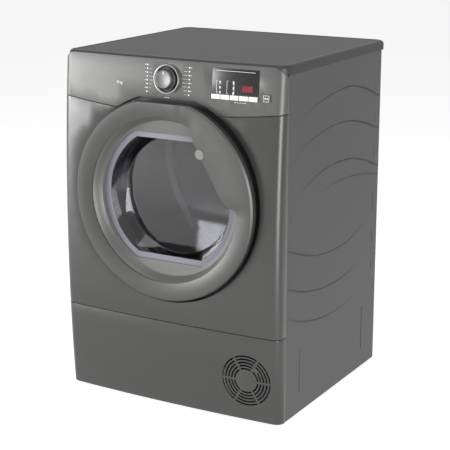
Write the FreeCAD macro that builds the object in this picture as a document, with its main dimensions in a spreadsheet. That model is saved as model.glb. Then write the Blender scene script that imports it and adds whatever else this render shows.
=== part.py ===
"""Free-standing condenser clothes dryer, built as separate pieces.

Millimetres, +X to the right, +Y to the back, +Z up.  The origin lies on the floor under the middle of the
machine.  Every body is drawn from the front chord plane of the cabinet (y = 0), and its Placement moves it
back by front_shift, so that the whole machine is centred on the origin.
"""
import FreeCAD, Part
import math
import os
import re
import Sketcher

# ---------------------------------------------------------------- driving dimensions
SIZES = {
    # cabinet
    "overall_width": 596, "overall_height": 850, "overall_depth": 602,
    "door_stand_out": 38, "side_front": 24.6, "rear_overhang": 32, "floor_gap": 10,
    "sheet_steel": 1.2, "moulding": 2.5, "flange": 12, "seam": 1.5,
    "bow_radius": 4800, "profile_radius": 4889, "crown_stand_out": 22, "crown_height": 380,
    "corner_round": 20, "fascia_corner": 32, "fascia_drop": 4,
    "seam_centre": 723, "seam_radius": 2180, "kick_top": 221,
    # worktop
    "worktop_thick": 22, "trim_width": 13, "trim_round": 9, "trim_set_back": 3, "board_drop": 0.6,
    # door
    "door_height": 521, "door_outer": 241, "door_flat": 229, "face_inner": 198, "face_dish": 5,
    "disc_radius": 185, "disc_depth": 30.5, "door_wall": 3, "cover_radius": 224, "cover_front": 20,
    "cover_rear": 2, "window_radius": 178, "window_half": 153, "bowl_flange": 182, "bowl_front": 168,
    "bowl_rear": 148, "bowl_depth": 47, "glass": 4, "seal_radius": 205, "seal_width": 10,
    "door_gap": 6.7, "recess_depth": 3, "throat_radius": 187,
    "hinge_x": 232, "hinge_stand_out": 27, "pin_radius": 3, "pin_clearance": 0.05, "hinge_pitch": 60,
    "ear_height": 9, "latch_x": 214,
    # drum and its carriers
    "drum_radius": 283, "drum_sheet": 1.2, "drum_front": 60, "drum_rear": 478, "drum_mouth": 256,
    "front_wall": 46, "rear_wall": 488, "wall_sheet": 1.6, "running_gap": 0.3,
    "lifter_height": 42, "lifter_width": 52, "lifter_count": 3,
    "shaft_radius": 12, "bearing_radius": 22, "shaft_clearance": 0.05,
    "roller_radius": 20, "roller_width": 18, "roller_angle": 35, "roller_pin": 5,
    # drive
    "motor_x": 205, "motor_z": 112, "motor_radius": 60, "motor_front": 150, "motor_rear": 290,
    "axle_radius": 6, "groove_radius": 10, "belt_front": 312, "belt_width": 14, "belt_thick": 2.4,
    "idler_x": 120, "idler_z": 155, "idler_radius": 18, "arm_x": 160, "arm_z": 196,
    "fan_radius": 66, "fan_case": 74, "fan_blades": 12, "cooling_front": 48, "cooling_width": 46,
    "process_front": 424, "process_width": 48,
    # base, condenser and water container
    "base_floor": 12, "base_sheet": 3, "base_height": 60,
    "tunnel_left": 246, "tunnel_right": 34, "tunnel_top": 184, "tunnel_rear": 400, "slide_gap": 1.2,
    "condenser_front": 40, "condenser_depth": 330, "fin_slots": 9,
    "tank_left": 26, "tank_right": 116, "tank_front": 34, "tank_depth": 320, "tank_height": 112,
    "tank_wall": 2,
    # filter
    "filter_width": 150, "filter_front": 20, "filter_thick": 16, "filter_depth": 96,
    # controls
    "knob_height": 802, "knob_radius": 25, "knob_length": 20, "bezel_radius": 34, "bezel_depth": 7,
    "display_left": 118, "display_wide": 117, "display_low": 780, "display_tall": 57,
    "button_wide": 21.4, "button_pitch": 23.5, "button_tall": 10.4, "button_low": 768,
    "button_travel": 1, "start_x": 247, "start_size": 16, "start_low": 769,
    # grille in the kickplate
    "grille_x": 212, "grille_z": 110, "grille_outer": 63, "grille_hub": 28, "grille_rings": 5,
    "grille_spokes": 6, "spoke_width": 5,
    # feet
    "foot_radius": 21, "foot_inset_x": 60, "foot_inset_y": 60, "stud_radius": 5,
    # details of the pieces above
    "board_ledge": 6, "rail_tall": 12, "button_seat": 2.6, "hinge_notch": 40, "knuckle_radius": 6.5,
    "hook_tall": 12, "hook_reach": 18, "hook_slot": 8, "catch_tall": 44,
    "grip_top": 184, "grip_shoulder_x": 82, "grip_shoulder": 145, "grip_waist_x": 145, "grip_waist": 33,
    "grip_reach": 140, "grip_waist_round": 60, "grip_heel_x": 186, "grip_heel": 2, "grip_tip": 16, "grip_tip_round": 14,
    "roller_front": 66, "filter_low": 244, "pocket_wall": 2.5,
    "port_radius": 30, "port_x": 150, "port_pitch": 75, "duct_half": 80,
    "heater_low": 260, "heater_pitch": 34, "heater_rod": 3.2,
    "air_hole": 5, "air_hole_inner": 90, "air_hole_outer": 120, "air_hole_count": 24,
    "arm_sheet": 4, "arm_round": 9, "pump_x": -190, "pump_y": 450,
    "hose_radius": 6, "hose_bend": 22, "hose_x": 60, "tank_mouth": 12, "foot_pad": 6, "foot_nut": 9,
    "foot_stud": 14.5, "screw_radius": 1.8, "inlet_radius": 9, "inlet_x": 230, "inlet_z": 770,
    "slot_bank": 250, "slot_length": 90, "slot_rows": 8, "slot_low": 90, "slot_pitch": 14, "slot_tall": 5,
}

# lengths that follow from the driving ones; each name stands for its formula
DERIVED = {
    "half_width": "(overall_width / 2)",
    "front_shift": "(door_stand_out - overall_depth / 2)",
    "worktop_rear": "(overall_depth - door_stand_out)",
    "side_rear": "(worktop_rear - rear_overhang)",
    "side_top": "(overall_height - worktop_thick)",
    "inner_half": "(half_width - sheet_steel)",
    "fascia_top": "(overall_height - fascia_drop)",
    "door_face": "(-door_stand_out)",
    "face_edge": "(face_dish - door_stand_out)",
    "disc_face": "(disc_depth - door_stand_out)",
    "recess_radius": "(door_outer + door_gap)",
    "hinge_y": "(-hinge_stand_out)",
    "drum_outer": "(drum_radius + running_gap)",
    "tank_floor": "(base_floor + base_sheet + running_gap)",
}

doc = FreeCAD.newDocument("dryer")
sheet = doc.addObject("Spreadsheet::Sheet", "Sizes")
for row, (alias, number) in enumerate(SIZES.items(), 1):
    sheet.set(f"A{row}", alias.replace("_", " "))
    sheet.set(f"B{row}", str(number))
    sheet.setAlias(f"B{row}", alias)
doc.recompute()

WORD = re.compile(r"[a-z][a-z_]*[a-z]")
PARTS = []


def formula(text):
    """Write out the derived names, then point every size name at its cell."""
    text = str(text)
    while any(word in DERIVED for word in WORD.findall(text)):
        text = WORD.sub(lambda hit: DERIVED.get(hit[0], hit[0]), text)
    return WORD.sub(lambda hit: f"Sizes.{hit[0]}" if hit[0] in SIZES else hit[0], text)


def number(text):
    return float(sheet.evalExpression(formula(text)))


def bind(thing, prop, text):
    thing.setExpression(prop, formula(text))


def keep(label, thing):
    """Register a finished sub-part under the name of its file."""
    thing.Label = label
    PARTS.append((label, thing))
    return thing


# ---------------------------------------------------------------- bodies, sketches and features
def new_body(label, x="0", y="0", z="0"):
    """A sub-part whose own origin stands at x, y, z from the middle of the front chord plane."""
    body = doc.addObject("PartDesign::Body", "Body_" + label)
    bind(body, "Placement.Base.x", x)
    bind(body, "Placement.Base.y", f"front_shift + {y}")
    bind(body, "Placement.Base.z", z)
    return keep(label, body)


def new_sketch(body, plane, level="0"):
    """A sketch on the body's own XY, XZ or YZ plane, moved to the given level along +Z, +Y or +X."""
    sketch = body.newObject("Sketcher::SketchObject", "Sketch")
    origin_plane = [f for f in body.Origin.OriginFeatures if f.Role == plane + "_Plane"][0]
    sketch.AttachmentSupport = (origin_plane, [""])
    sketch.MapMode = "FlatFace"
    bind(sketch, "AttachmentOffset.Base.z", f"-({level})" if plane == "XZ" else level)
    return sketch


def place_point(sketch, edge, end, x, y):
    for kind, text in (("DistanceX", x), ("DistanceY", y)):
        index = sketch.addConstraint(Sketcher.Constraint(kind, -1, 1, edge, end, number(text)))
        bind(sketch, f"Constraints[{index}]", text)


def outline(sketch, corners, arcs=None, closed=True):
    """Straight sides through the corners; arcs maps a side to its radius, positive if it turns left."""
    arcs = arcs or {}
    spots = [FreeCAD.Vector(number(x), number(y), 0) for x, y in corners]
    count = len(corners) if closed else len(corners) - 1
    first = sketch.GeometryCount
    for side in range(count):
        start, end = spots[side], spots[(side + 1) % len(spots)]
        if side not in arcs:
            sketch.addGeometry(Part.LineSegment(start, end), False)
            continue
        radius = number(arcs[side].lstrip("-"))
        turn = -1 if arcs[side].startswith("-") else 1
        chord = end - start
        normal = FreeCAD.Vector(-chord.y, chord.x, 0).normalize() * turn
        drop = math.sqrt(max(radius ** 2 - (chord.Length / 2) ** 2, 0))
        middle = (start + end) / 2 + normal * (drop - radius)
        sketch.addGeometry(Part.Arc(start, middle, end), False)
    for side in range(count):
        # an arc's own start and end follow its direction, so the nearer end is looked up
        begin = near_end(sketch, first + side, spots[side])
        place_point(sketch, first + side, begin, *corners[side])
        if closed or side < count - 1:
            following = near_end(sketch, first + (side + 1) % count, spots[(side + 1) % len(spots)])
            sketch.addConstraint(Sketcher.Constraint(
                "Coincident", first + side, 3 - begin, first + (side + 1) % count, following))
        else:
            place_point(sketch, first + side, 3 - begin, *corners[side + 1])
        if side in arcs:
            radius = arcs[side].lstrip("-")
            index = sketch.addConstraint(Sketcher.Constraint("Radius", first + side, number(radius)))
            bind(sketch, f"Constraints[{index}]", radius)
    return sketch


def near_end(sketch, edge, spot):
    return 1 if sketch.getPoint(edge, 1).distanceToPoint(spot) < 1e-6 else 2


def rectangle(sketch, left, right, low, high):
    return outline(sketch, [(left, low), (right, low), (right, high), (left, high)])


def circle(sketch, radius, x="0", y="0"):
    centre = FreeCAD.Vector(number(x), number(y), 0)
    edge = sketch.addGeometry(Part.Circle(centre, FreeCAD.Vector(0, 0, 1), number(radius)), False)
    place_point(sketch, edge, 3, x, y)
    index = sketch.addConstraint(Sketcher.Constraint("Radius", edge, number(radius)))
    bind(sketch, f"Constraints[{index}]", radius)
    return sketch


def plane_of(sketch):
    return sketch.AttachmentSupport[0][0].Role[:2]


def pad(body, sketch, length):
    """Thicken the sketch towards +X, +Y or +Z."""
    feature = body.newObject("PartDesign::Pad", "Pad")
    feature.Profile = sketch
    feature.Reversed = plane_of(sketch) == "XZ"
    bind(feature, "Length", length)
    return feature


def cut(body, sketch, length):
    """Cut from the sketch towards +X, +Y or +Z, and stop if nothing was taken away."""
    doc.recompute()
    before = body.Shape.Volume
    feature = body.newObject("PartDesign::Pocket", "Pocket")
    feature.Profile = sketch
    feature.Reversed = plane_of(sketch) != "XZ"
    bind(feature, "Length", length)
    doc.recompute()
    if not feature.Shape.Volume < before:
        raise ValueError(body.Label + ": a pocket cuts nothing")
    return feature


def slab(body, plane, level, thick, draw):
    """Pad a sketch that draw fills in, from its level through thick."""
    sketch = new_sketch(body, plane, level)
    draw(sketch)
    return pad(body, sketch, thick)


def opening(body, plane, level, through, draw):
    sketch = new_sketch(body, plane, level)
    draw(sketch)
    return cut(body, sketch, through)


def revolve(body, corners, arcs=None):
    """Turn a (y, radius) outline about the body's own Y axis."""
    sketch = outline(new_sketch(body, "YZ"), corners, arcs)
    feature = body.newObject("PartDesign::Revolution", "Turned")
    feature.Profile = sketch
    feature.ReferenceAxis = (sketch, ["H_Axis"])
    feature.Angle = 360
    return feature


def spin_copies(body, feature, count):
    """Repeat a feature evenly about the body's own Y axis."""
    doc.recompute()
    pattern = body.newObject("PartDesign::PolarPattern", "Around")
    pattern.Originals = [feature]
    pattern.Axis = ([f for f in body.Origin.OriginFeatures if f.Role == "Y_Axis"][0], [""])
    pattern.Angle = 360
    bind(pattern, "Occurrences", count)
    body.Tip = pattern
    return pattern


def turned(label, x, z, corners, arcs=None):
    """A round piece about an axis along Y through x, z."""
    body = new_body(label, x=x, z=z)
    revolve(body, corners, arcs)
    return body


def ring_corners(inner, outer, front, rear):
    return [(front, inner), (front, outer), (rear, outer), (rear, inner)]


# ---------------------------------------------------------------- plain boxes and rods
def box(low, high):
    """A bound box between two corners, each an (x, y, z) of formulas."""
    thing = doc.addObject("Part::Box", "Box")
    for side, name in enumerate(("Length", "Width", "Height")):
        bind(thing, name, f"({high[side]}) - ({low[side]})")
    bind(thing, "Placement.Base.x", low[0])
    bind(thing, "Placement.Base.y", f"front_shift + {low[1]}")
    bind(thing, "Placement.Base.z", low[2])
    return thing


ALONG = {"X": (FreeCAD.Vector(0, 1, 0), 90), "Y": (FreeCAD.Vector(1, 0, 0), -90),
         "Z": (FreeCAD.Vector(0, 0, 1), 0)}


def rod(axis, radius, start, length):
    """A bound cylinder from its start point along one axis."""
    thing = doc.addObject("Part::Cylinder", "Rod")
    thing.Placement.Rotation = FreeCAD.Rotation(*ALONG[axis])
    bind(thing, "Radius", radius)
    bind(thing, "Height", length)
    bind(thing, "Placement.Base.x", start[0])
    bind(thing, "Placement.Base.y", f"front_shift + {start[1]}")
    bind(thing, "Placement.Base.z", start[2])
    return thing


def joined(*things):
    fuse = doc.addObject("Part::MultiFuse", "Joined")
    fuse.Shapes = list(things)
    return fuse


def without(base, *tools):
    result = doc.addObject("Part::Cut", "Less")
    result.Base = base
    result.Tool = joined(*tools) if len(tools) > 1 else tools[0]
    return result


# ---------------------------------------------------------------- bowed front skin
def skin_y(z):
    """The y of the skin's outer face on the middle line at height z."""
    return f"(profile_radius - crown_stand_out - sqrt(profile_radius ^ 2 - (({z}) - crown_height) ^ 2))"


def front_skin(label, low, high):
    """A plan outline with rounded corners, carried up a shallow upright arc and cut off at the side panels."""
    body = new_body(label)
    corner_x = "(half_width - corner_round)"
    corner_y = f"(bow_radius - sqrt((bow_radius - corner_round) ^ 2 - {corner_x} ^ 2))"
    reach = "(bow_radius / (bow_radius - corner_round))"
    meet_x = f"({corner_x} * {reach})"
    meet_y = f"(bow_radius - (bow_radius - {corner_y}) * {reach})"
    share = "((corner_round - moulding) / corner_round)"
    inner_x = f"({corner_x} + ({meet_x} - {corner_x}) * {share})"
    inner_y = f"({corner_y} + ({meet_y} - {corner_y}) * {share})"
    back = "(side_front + crown_stand_out * 2)"
    outer = [("half_width", back), ("half_width", corner_y), (meet_x, meet_y)]
    inner = [(inner_x, inner_y), ("half_width - moulding", corner_y), ("half_width - moulding", back)]

    def mirrored(points):
        return [(f"-({x})", y) for x, y in reversed(points)]

    corners = outer + mirrored(outer) + [(f"-({x})", y) for x, y in reversed(inner)] + inner
    sketch = outline(new_sketch(body, "XY", low), corners, {
        1: "-corner_round", 2: "-bow_radius", 3: "-corner_round",
        7: "(corner_round - moulding)", 8: "(bow_radius - moulding)", 9: "(corner_round - moulding)"})
    bind(sketch, "AttachmentOffset.Base.y", skin_y(low))
    path = outline(new_sketch(body, "YZ"), [(skin_y(low), low), (skin_y(high), high)],
                   {0: "-profile_radius"}, closed=False)
    sweep = body.newObject("PartDesign::AdditivePipe", "Sweep")
    sweep.Profile = sketch
    sweep.Spine = (path, ["Edge1"])
    sweep.Mode = "Fixed"
    doc.recompute()
    opening(body, "YZ", "-overall_width", "overall_width * 2",
            lambda s: rectangle(s, "side_front", "side_front + 200", f"{low} - 1", f"{high} + 1"))
    return body


def seam_corners(step):
    """The curved seam between fascia and front panel, moved up by step."""
    edge = f"(seam_centre + seam_radius - sqrt(seam_radius ^ 2 - (half_width + 5) ^ 2) + {step})"
    return ("-(half_width + 5)", edge), ("half_width + 5", edge)


def flat_circle(sketch, radius, flat):
    """A circle about the door's middle, cut off level above it."""
    half = f"sqrt(({radius}) ^ 2 - ({flat}) ^ 2)"
    top = f"(door_height + {flat})"
    side = f"({radius})"
    return outline(sketch, [(f"-{half}", top), (f"-{side}", "door_height"), ("0", f"door_height - {side}"),
                            (side, "door_height"), (half, top)],
                   {0: radius, 1: radius, 2: radius, 3: radius})


def make_front_panel():
    seam_top = "(seam_centre + seam_radius - sqrt(seam_radius ^ 2 - half_width ^ 2))"
    body = front_skin("front_panel", "(kick_top + seam)", f"({seam_top})")
    left, right = seam_corners("-seam / 2")
    high = f"({seam_top} + 60)"
    opening(body, "XZ", "-100", "200", lambda s: outline(
        s, [left, right, (right[0], high), (left[0], high)], {0: "seam_radius"}))
    opening(body, "XZ", "-100", "200", lambda s: flat_circle(s, "recess_radius", "(door_flat + door_gap)"))
    return body


def make_control_fascia():
    body = front_skin("control_fascia", "seam_centre", "fascia_top")
    left, right = seam_corners("seam / 2")
    low = "(seam_centre - 60)"
    opening(body, "XZ", "-100", "200", lambda s: outline(
        s, [left, (left[0], low), (right[0], low), right], {3: "-seam_radius"}))
    opening(body, "XZ", "-100", "200", lambda s: flat_circle(s, "recess_radius", "(door_flat + door_gap)"))
    for sign in ("-", ""):
        inner_x = f"{sign}(half_width - fascia_corner)"
        outer_x = f"{sign}(half_width)"
        far_x = f"{sign}(half_width + 5)"
        opening(body, "XZ", "-100", "200", lambda s: outline(
            s, [(outer_x, "fascia_top - fascia_corner"), (inner_x, "fascia_top"), (inner_x, "fascia_top + 5"),
                (far_x, "fascia_top + 5"), (far_x, "fascia_top - fascia_corner")],
            {0: "-fascia_corner" if sign else "fascia_corner"}))
    # seats of the display, the knob's spindle and the buttons
    opening(body, "XZ", "-100", "200", lambda s: rectangle(
        s, "display_left + 2", "display_left + display_wide - 2", "display_low + 2",
        "display_low + display_tall - 2"))
    opening(body, "XZ", "-100", "200", lambda s: circle(s, "8", "0", "knob_height"))
    for place in range(5):
        opening(body, "XZ", "-100", "200", lambda s: rectangle(
            s, f"display_left + {place} * button_pitch + 3",
            f"display_left + {place} * button_pitch + button_wide - 3", "button_low + 2.5",
            "button_low + button_tall - 2.5"))
    opening(body, "XZ", "-100", "200", lambda s: rectangle(
        s, "start_x + 3", "start_x + start_size - 3", "start_low + 3", "start_low + start_size - 3"))
    return body


def make_kickplate():
    """The lower cover, with rings of curved slots between radial spokes in front of the cooling fan."""
    body = front_skin("kickplate", "floor_gap", "kick_top")
    sketch = new_sketch(body, "XZ", "-100")
    bind(sketch, "AttachmentOffset.Base.x", "grille_x")
    bind(sketch, "AttachmentOffset.Base.y", "grille_z")
    pitch = "((grille_outer - grille_hub) / (grille_rings * 2 - 1))"
    for ring in range(int(number("grille_rings"))):
        inner = f"(grille_hub + {2 * ring} * {pitch})"
        outer = f"({inner} + {pitch})"

        def spot(radius, turn, lean):
            angle = f"({turn} / grille_spokes {lean} 28.65 * spoke_width / {radius})"
            return f"{radius} * cos({angle})", f"{radius} * sin({angle})"

        outline(sketch, [spot(outer, 0, "+"), spot(outer, 360, "-"), spot(inner, 360, "-"),
                         spot(inner, 0, "+")], {0: outer, 2: f"-{inner}"})
    slots = cut(body, sketch, "200")
    pattern = body.newObject("PartDesign::PolarPattern", "Spokes")
    pattern.Originals = [slots]
    pattern.Axis = (sketch, ["N_Axis"])
    pattern.Angle = 360
    bind(pattern, "Occurrences", "grille_spokes")
    body.Tip = pattern
    return body


def skin_patch(body, left, right, low, high, front, rear, kind="Additive"):
    """A curved plate that follows the skin, added or cut, from front to rear of the skin's outer face."""
    def bow(x):
        return f"(bow_radius - sqrt(bow_radius ^ 2 - ({x}) ^ 2))"

    sketch = outline(new_sketch(body, "XY", low), [
        (left, f"{bow(left)} + {front}"), (right, f"{bow(right)} + {front}"),
        (right, f"{bow(right)} + {rear}"), (left, f"{bow(left)} + {rear}")],
        {0: "bow_radius", 2: "-bow_radius"})
    bind(sketch, "AttachmentOffset.Base.y", skin_y(low))
    path = outline(new_sketch(body, "YZ"), [(skin_y(low), low), (skin_y(high), high)],
                   {0: "-profile_radius"}, closed=False)
    sweep = body.newObject(f"PartDesign::{kind}Pipe", "Sweep")
    sweep.Profile = sketch
    sweep.Spine = (path, ["Edge1"])
    sweep.Mode = "Fixed"
    return sweep


def make_display():
    body = new_body("display_window")
    skin_patch(body, "display_left", "display_left + display_wide", "display_low",
               "display_low + display_tall", "-0.8", "-0.1")
    return body


def make_button(label, left, wide, low, tall):
    """A cap that stands off the fascia by its travel, on a stem through a hole in the fascia."""
    body = new_body(label)
    skin_patch(body, left, f"{left} + {wide}", low, f"{low} + {tall}",
               "-(button_travel + 2)", "-(button_travel + running_gap)")
    doc.recompute()
    edge = "(button_seat + 0.5)"
    middle = f"({low} + {tall} / 2)"
    front = f"({skin_y(middle)} + {left} ^ 2 / bow_radius / 2 - button_travel - 0.9)"
    slab(body, "XZ", front, "14", lambda s: rectangle(
        s, f"{left} + {edge}", f"{left} + {wide} - {edge}", f"{low} + {edge}", f"{low} + {tall} - {edge}"))
    return body


# ---------------------------------------------------------------- knob
KNOB_TILT = "asin((knob_height - crown_height) / profile_radius)"


def tilted_body(label):
    """A body whose Y axis stands square to the fascia at the knob."""
    body = new_body(label, y=skin_y("knob_height"), z="knob_height")
    body.Placement.Rotation = FreeCAD.Rotation(FreeCAD.Vector(-1, 0, 0), 5)
    bind(body, "Placement.Rotation.Angle", KNOB_TILT)
    return body


def make_knob():
    revolve(tilted_body("knob_bezel"), [
        ("0", "bezel_radius - 8"), ("-bezel_depth + 2", "bezel_radius - 8"),
        ("-bezel_depth", "bezel_radius - 6"), ("-bezel_depth", "bezel_radius - 3"), ("-2", "bezel_radius"),
        ("0", "bezel_radius")])
    revolve(tilted_body("programme_knob"), [
        ("-knob_length", "0"), ("-knob_length", "knob_radius - 4"), ("-knob_length + 2", "knob_radius - 2"),
        ("-0.6", "knob_radius"), ("-0.6", "6"), ("14", "6"), ("14", "0")])


# ---------------------------------------------------------------- cabinet
def picked_edges(feature, test):
    """Names of the feature's edges whose two ends and middle all pass the test."""
    names = []
    for index, edge in enumerate(feature.Shape.Edges, 1):
        spots = [edge.valueAt(edge.FirstParameter), edge.valueAt(edge.LastParameter), edge.CenterOfMass]
        if all(test(spot) for spot in spots):
            names.append(f"Edge{index}")
    return names


def fillet(body, feature, radius, test):
    doc.recompute()
    names = picked_edges(feature, test)
    if not names:
        raise ValueError(body.Label + ": a fillet found no edge")
    rounded = body.newObject("PartDesign::Fillet", "Rounded")
    rounded.Base = (feature, names)
    bind(rounded, "Radius", radius)
    return rounded


def make_worktop():
    """A plain board let into a dark moulded frame that is bowed at the front like the fascia."""
    front = f"({skin_y('fascia_top')} + moulding + running_gap)"
    corner = "(fascia_corner - fascia_drop)"
    corner_x = f"(half_width - {corner})"
    corner_y = f"({front} + bow_radius - sqrt(bow_radius ^ 2 - {corner_x} ^ 2))"
    body = new_body("worktop_trim")
    block = slab(body, "XY", "side_top", "worktop_thick", lambda s: outline(s, [
        ("-half_width", f"{corner_y} + {corner}"), (f"-{corner_x}", corner_y), (corner_x, corner_y),
        ("half_width", f"{corner_y} + {corner}"), ("half_width", f"worktop_rear - {corner}"),
        (corner_x, "worktop_rear"), (f"-{corner_x}", "worktop_rear"),
        ("-half_width", f"worktop_rear - {corner}")],
        {0: corner, 1: "bow_radius", 2: corner, 4: corner, 6: corner}))
    top = number("overall_height")
    rounded = fillet(body, block, "trim_round", lambda spot: abs(spot.z - top) < 0.01)
    board_front = f"({corner_y} + trim_width)"
    board_side = "(half_width - trim_width)"
    board_rear = "(worktop_rear - trim_width)"
    ledge = "(side_top + board_ledge)"
    opening(body, "XY", ledge, "worktop_thick",
            lambda s: rectangle(s, f"-{board_side}", board_side, board_front, board_rear))
    opening(body, "XY", "side_top - 1", "worktop_thick", lambda s: rectangle(
        s, f"-({board_side} - trim_width * 2)", f"{board_side} - trim_width * 2",
        f"{board_front} + trim_width * 2", f"{board_rear} - trim_width * 4"))
    keep("worktop_board", box((f"-{board_side}", board_front, ledge),
                              (board_side, board_rear, "overall_height - board_drop")))
    return rounded


def make_side_panel(label, sign):
    """A folded steel side with a return flange at the front and at the rear."""
    body = new_body(label)
    corners = [("half_width", "side_front"), ("half_width", "side_rear"),
               ("half_width - flange", "side_rear"), ("half_width - flange", "side_rear - sheet_steel"),
               ("inner_half", "side_rear - sheet_steel"), ("inner_half", "side_front + sheet_steel"),
               ("half_width - flange", "side_front + sheet_steel"), ("half_width - flange", "side_front")]
    slab(body, "XY", "floor_gap", "side_top - floor_gap",
         lambda s: outline(s, [(f"{sign}({x})", y) for x, y in corners]))
    return body


SCREW_ROWS = 4
SCREW_X = "(half_width - flange / 2)"


def screw_heights():
    return [f"(floor_gap + 30 + {row} * (side_top - floor_gap - 60) / {SCREW_ROWS - 1})"
            for row in range(SCREW_ROWS)]


def make_rear():
    """The rear panel with its two banks of air slots, its screws and the mains inlet."""
    body = new_body("rear_panel")
    slab(body, "XZ", "side_rear", "sheet_steel", lambda s: rectangle(
        s, "-half_width + 2", "half_width - 2", "floor_gap + 4", "side_top - 1"))
    slots = new_sketch(body, "XZ", "side_rear - 1")
    for bank in ("-slot_bank", "slot_bank - slot_length"):
        for row in range(int(number("slot_rows"))):
            low = f"(slot_low + {row} * slot_pitch)"
            rectangle(slots, bank, f"{bank} + slot_length", low, f"{low} + slot_tall")
    cut(body, slots, "sheet_steel + 2")
    holes = new_sketch(body, "XZ", "side_rear - 1")
    circle(holes, "inlet_radius", "-inlet_x", "inlet_z")
    for side in ("-", ""):
        for height in screw_heights():
            circle(holes, "screw_radius + 0.2", side + SCREW_X, height)
    cut(body, holes, "sheet_steel + 2")
    outer = "(side_rear + sheet_steel)"
    screws = []
    for side in ("-", ""):
        for height in screw_heights():
            screws.append(rod("Y", "screw_radius", (side + SCREW_X, "side_rear", height), "sheet_steel"))
            screws.append(rod("Y", "screw_radius * 2.4", (side + SCREW_X, outer, height), "2.2"))
    keep("panel_screws", joined(*screws))
    at = ("-inlet_x", "side_rear - 8", "inlet_z")
    keep("mains_inlet", joined(rod("Y", "inlet_radius", at, "26"),
                               rod("Y", "inlet_radius + 5", ("-inlet_x", outer, "inlet_z"), "4")))


def make_base():
    """The moulded base with the tunnel that the condenser slides into, and the four feet."""
    floor_top = "(base_floor + base_sheet)"
    front, rear = "(side_front + 1.5)", "(side_rear - 1.5)"
    shell = without(
        box(("-inner_half", front, "base_floor"), ("inner_half", rear, "base_height")),
        box(("-(inner_half - base_sheet)", "side_front", floor_top),
            ("inner_half - base_sheet", f"{rear} - base_sheet", "base_height + 1")))
    tunnel_front = "(side_front + flange)"
    tunnel = box(("-tunnel_left", tunnel_front, "base_floor"), ("-tunnel_right", "tunnel_rear", "tunnel_top"))
    bore = box(("-(tunnel_left - base_sheet)", "side_front", floor_top),
               ("-(tunnel_right + base_sheet)", "tunnel_rear - base_sheet", "tunnel_top - base_sheet"))
    rear_port = box(("-(tunnel_left - 50)", "tunnel_rear - base_sheet - 1", "base_height"),
                    ("-(tunnel_right + 50)", "tunnel_rear + 1", "tunnel_top - 30"))
    studs = [rod("Z", "stud_radius + 0.3", (x, y, "base_floor - 1"), "base_sheet + 2") for x, y in foot_spots()]
    keep("base_tray", without(joined(shell, tunnel), bore, rear_port, *studs))
    feet = []
    for x, y in foot_spots():
        feet += [rod("Z", "foot_radius", (x, y, "0"), "foot_pad"),
                 rod("Z", "foot_nut", (x, y, "foot_pad"), "base_floor - foot_pad"),
                 rod("Z", "stud_radius", (x, y, "0"), "foot_stud")]
    keep("levelling_feet", joined(*feet))


def foot_spots():
    return [(f"{sign}(half_width - foot_inset_x)", y)
            for sign in ("-", "") for y in ("side_front + foot_inset_y", "side_rear - foot_inset_y")]


def make_top_rails():
    low, high = "(side_top - rail_tall)", "side_top"
    keep("top_rails", joined(
        box(("-inner_half", "side_front + sheet_steel + 1", low), ("inner_half", "front_wall - 0.4", high)),
        box(("-inner_half", "rear_wall + wall_sheet + 0.4", low),
            ("inner_half", "side_rear - sheet_steel - 0.4", high))))


# ---------------------------------------------------------------- bulkheads and seals
def make_front_bulkhead():
    """The wall that carries the drum's front: loading throat, filter pocket and the two roller pins."""
    body = new_body("front_bulkhead")
    slab(body, "XZ", "front_wall", "wall_sheet", lambda s: rectangle(
        s, "-inner_half", "inner_half", "motor_z + fan_case + 4", "side_top - rail_tall"))
    throat_front = "(recess_depth + wall_sheet)"
    # the pan that the door closes into, its rim cut to the back of the bowed front panel
    rim = "(recess_radius + wall_sheet)"
    slab(body, "XZ", "-40", f"{throat_front} + 40",
         lambda s: flat_circle(s, rim, "(door_flat + door_gap + wall_sheet)"))
    opening(body, "XZ", "-41", "41 + recess_depth",
            lambda s: flat_circle(s, "recess_radius", "(door_flat + door_gap)"))
    skin_patch(body, f"-{rim} - 5", f"{rim} + 5", "kick_top", "fascia_top", "-60", "moulding + running_gap",
               "Subtractive")
    opening(body, "XZ", "recess_depth - 1", "wall_sheet + 2", lambda s: rectangle(
        s, "latch_x - hook_slot", "latch_x + hook_slot", "door_height - hook_tall / 2 - 2",
        "door_height + hook_tall / 2 + 2"))
    slab(body, "XZ", throat_front, f"drum_front - {throat_front} - 2", lambda s: circle(
        s, "throat_radius + moulding", "0", "door_height"))
    slab(body, "XZ", "filter_front - pocket_wall", "front_wall - filter_front + pocket_wall",
         lambda s: rectangle(s, "-(filter_width / 2 + pocket_wall + 1)", "filter_width / 2 + pocket_wall + 1",
                             "filter_low - pocket_wall", "door_height - throat_radius + 20"))
    for side in ("-", ""):
        slab(body, "XZ", "front_wall", "roller_front + roller_width + 4 - front_wall",
             lambda s: circle(s, "roller_pin", f"{side}({ROLLER_X})", ROLLER_Z))
    opening(body, "XZ", "0", "drum_front", lambda s: circle(s, "throat_radius", "0", "door_height"))
    opening(body, "XY", "filter_low - running_gap", "door_height - filter_low", lambda s: rectangle(
        s, "-(filter_width / 2 + 0.8)", "filter_width / 2 + 0.8", "filter_front - 0.8",
        "filter_front + filter_thick + 0.8"))
    return body


ROLLER_REACH = "(drum_radius + running_gap + roller_radius)"
ROLLER_X = f"{ROLLER_REACH} * sin(roller_angle)"
ROLLER_Z = f"(door_height - {ROLLER_REACH} * cos(roller_angle))"


def make_rear_bulkhead():
    body = new_body("rear_bulkhead")
    slab(body, "XZ", "rear_wall", "wall_sheet", lambda s: rectangle(
        s, "-inner_half", "inner_half", "motor_z + duct_half", "side_top - rail_tall"))
    ports = new_sketch(body, "XZ", "rear_wall - 1")
    circle(ports, "bearing_radius", "0", "door_height")
    for step in (-1, 0, 1):
        circle(ports, "port_radius", "port_x", f"door_height + {step} * port_pitch")
    cut(body, ports, "wall_sheet + 2")
    return body


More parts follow.
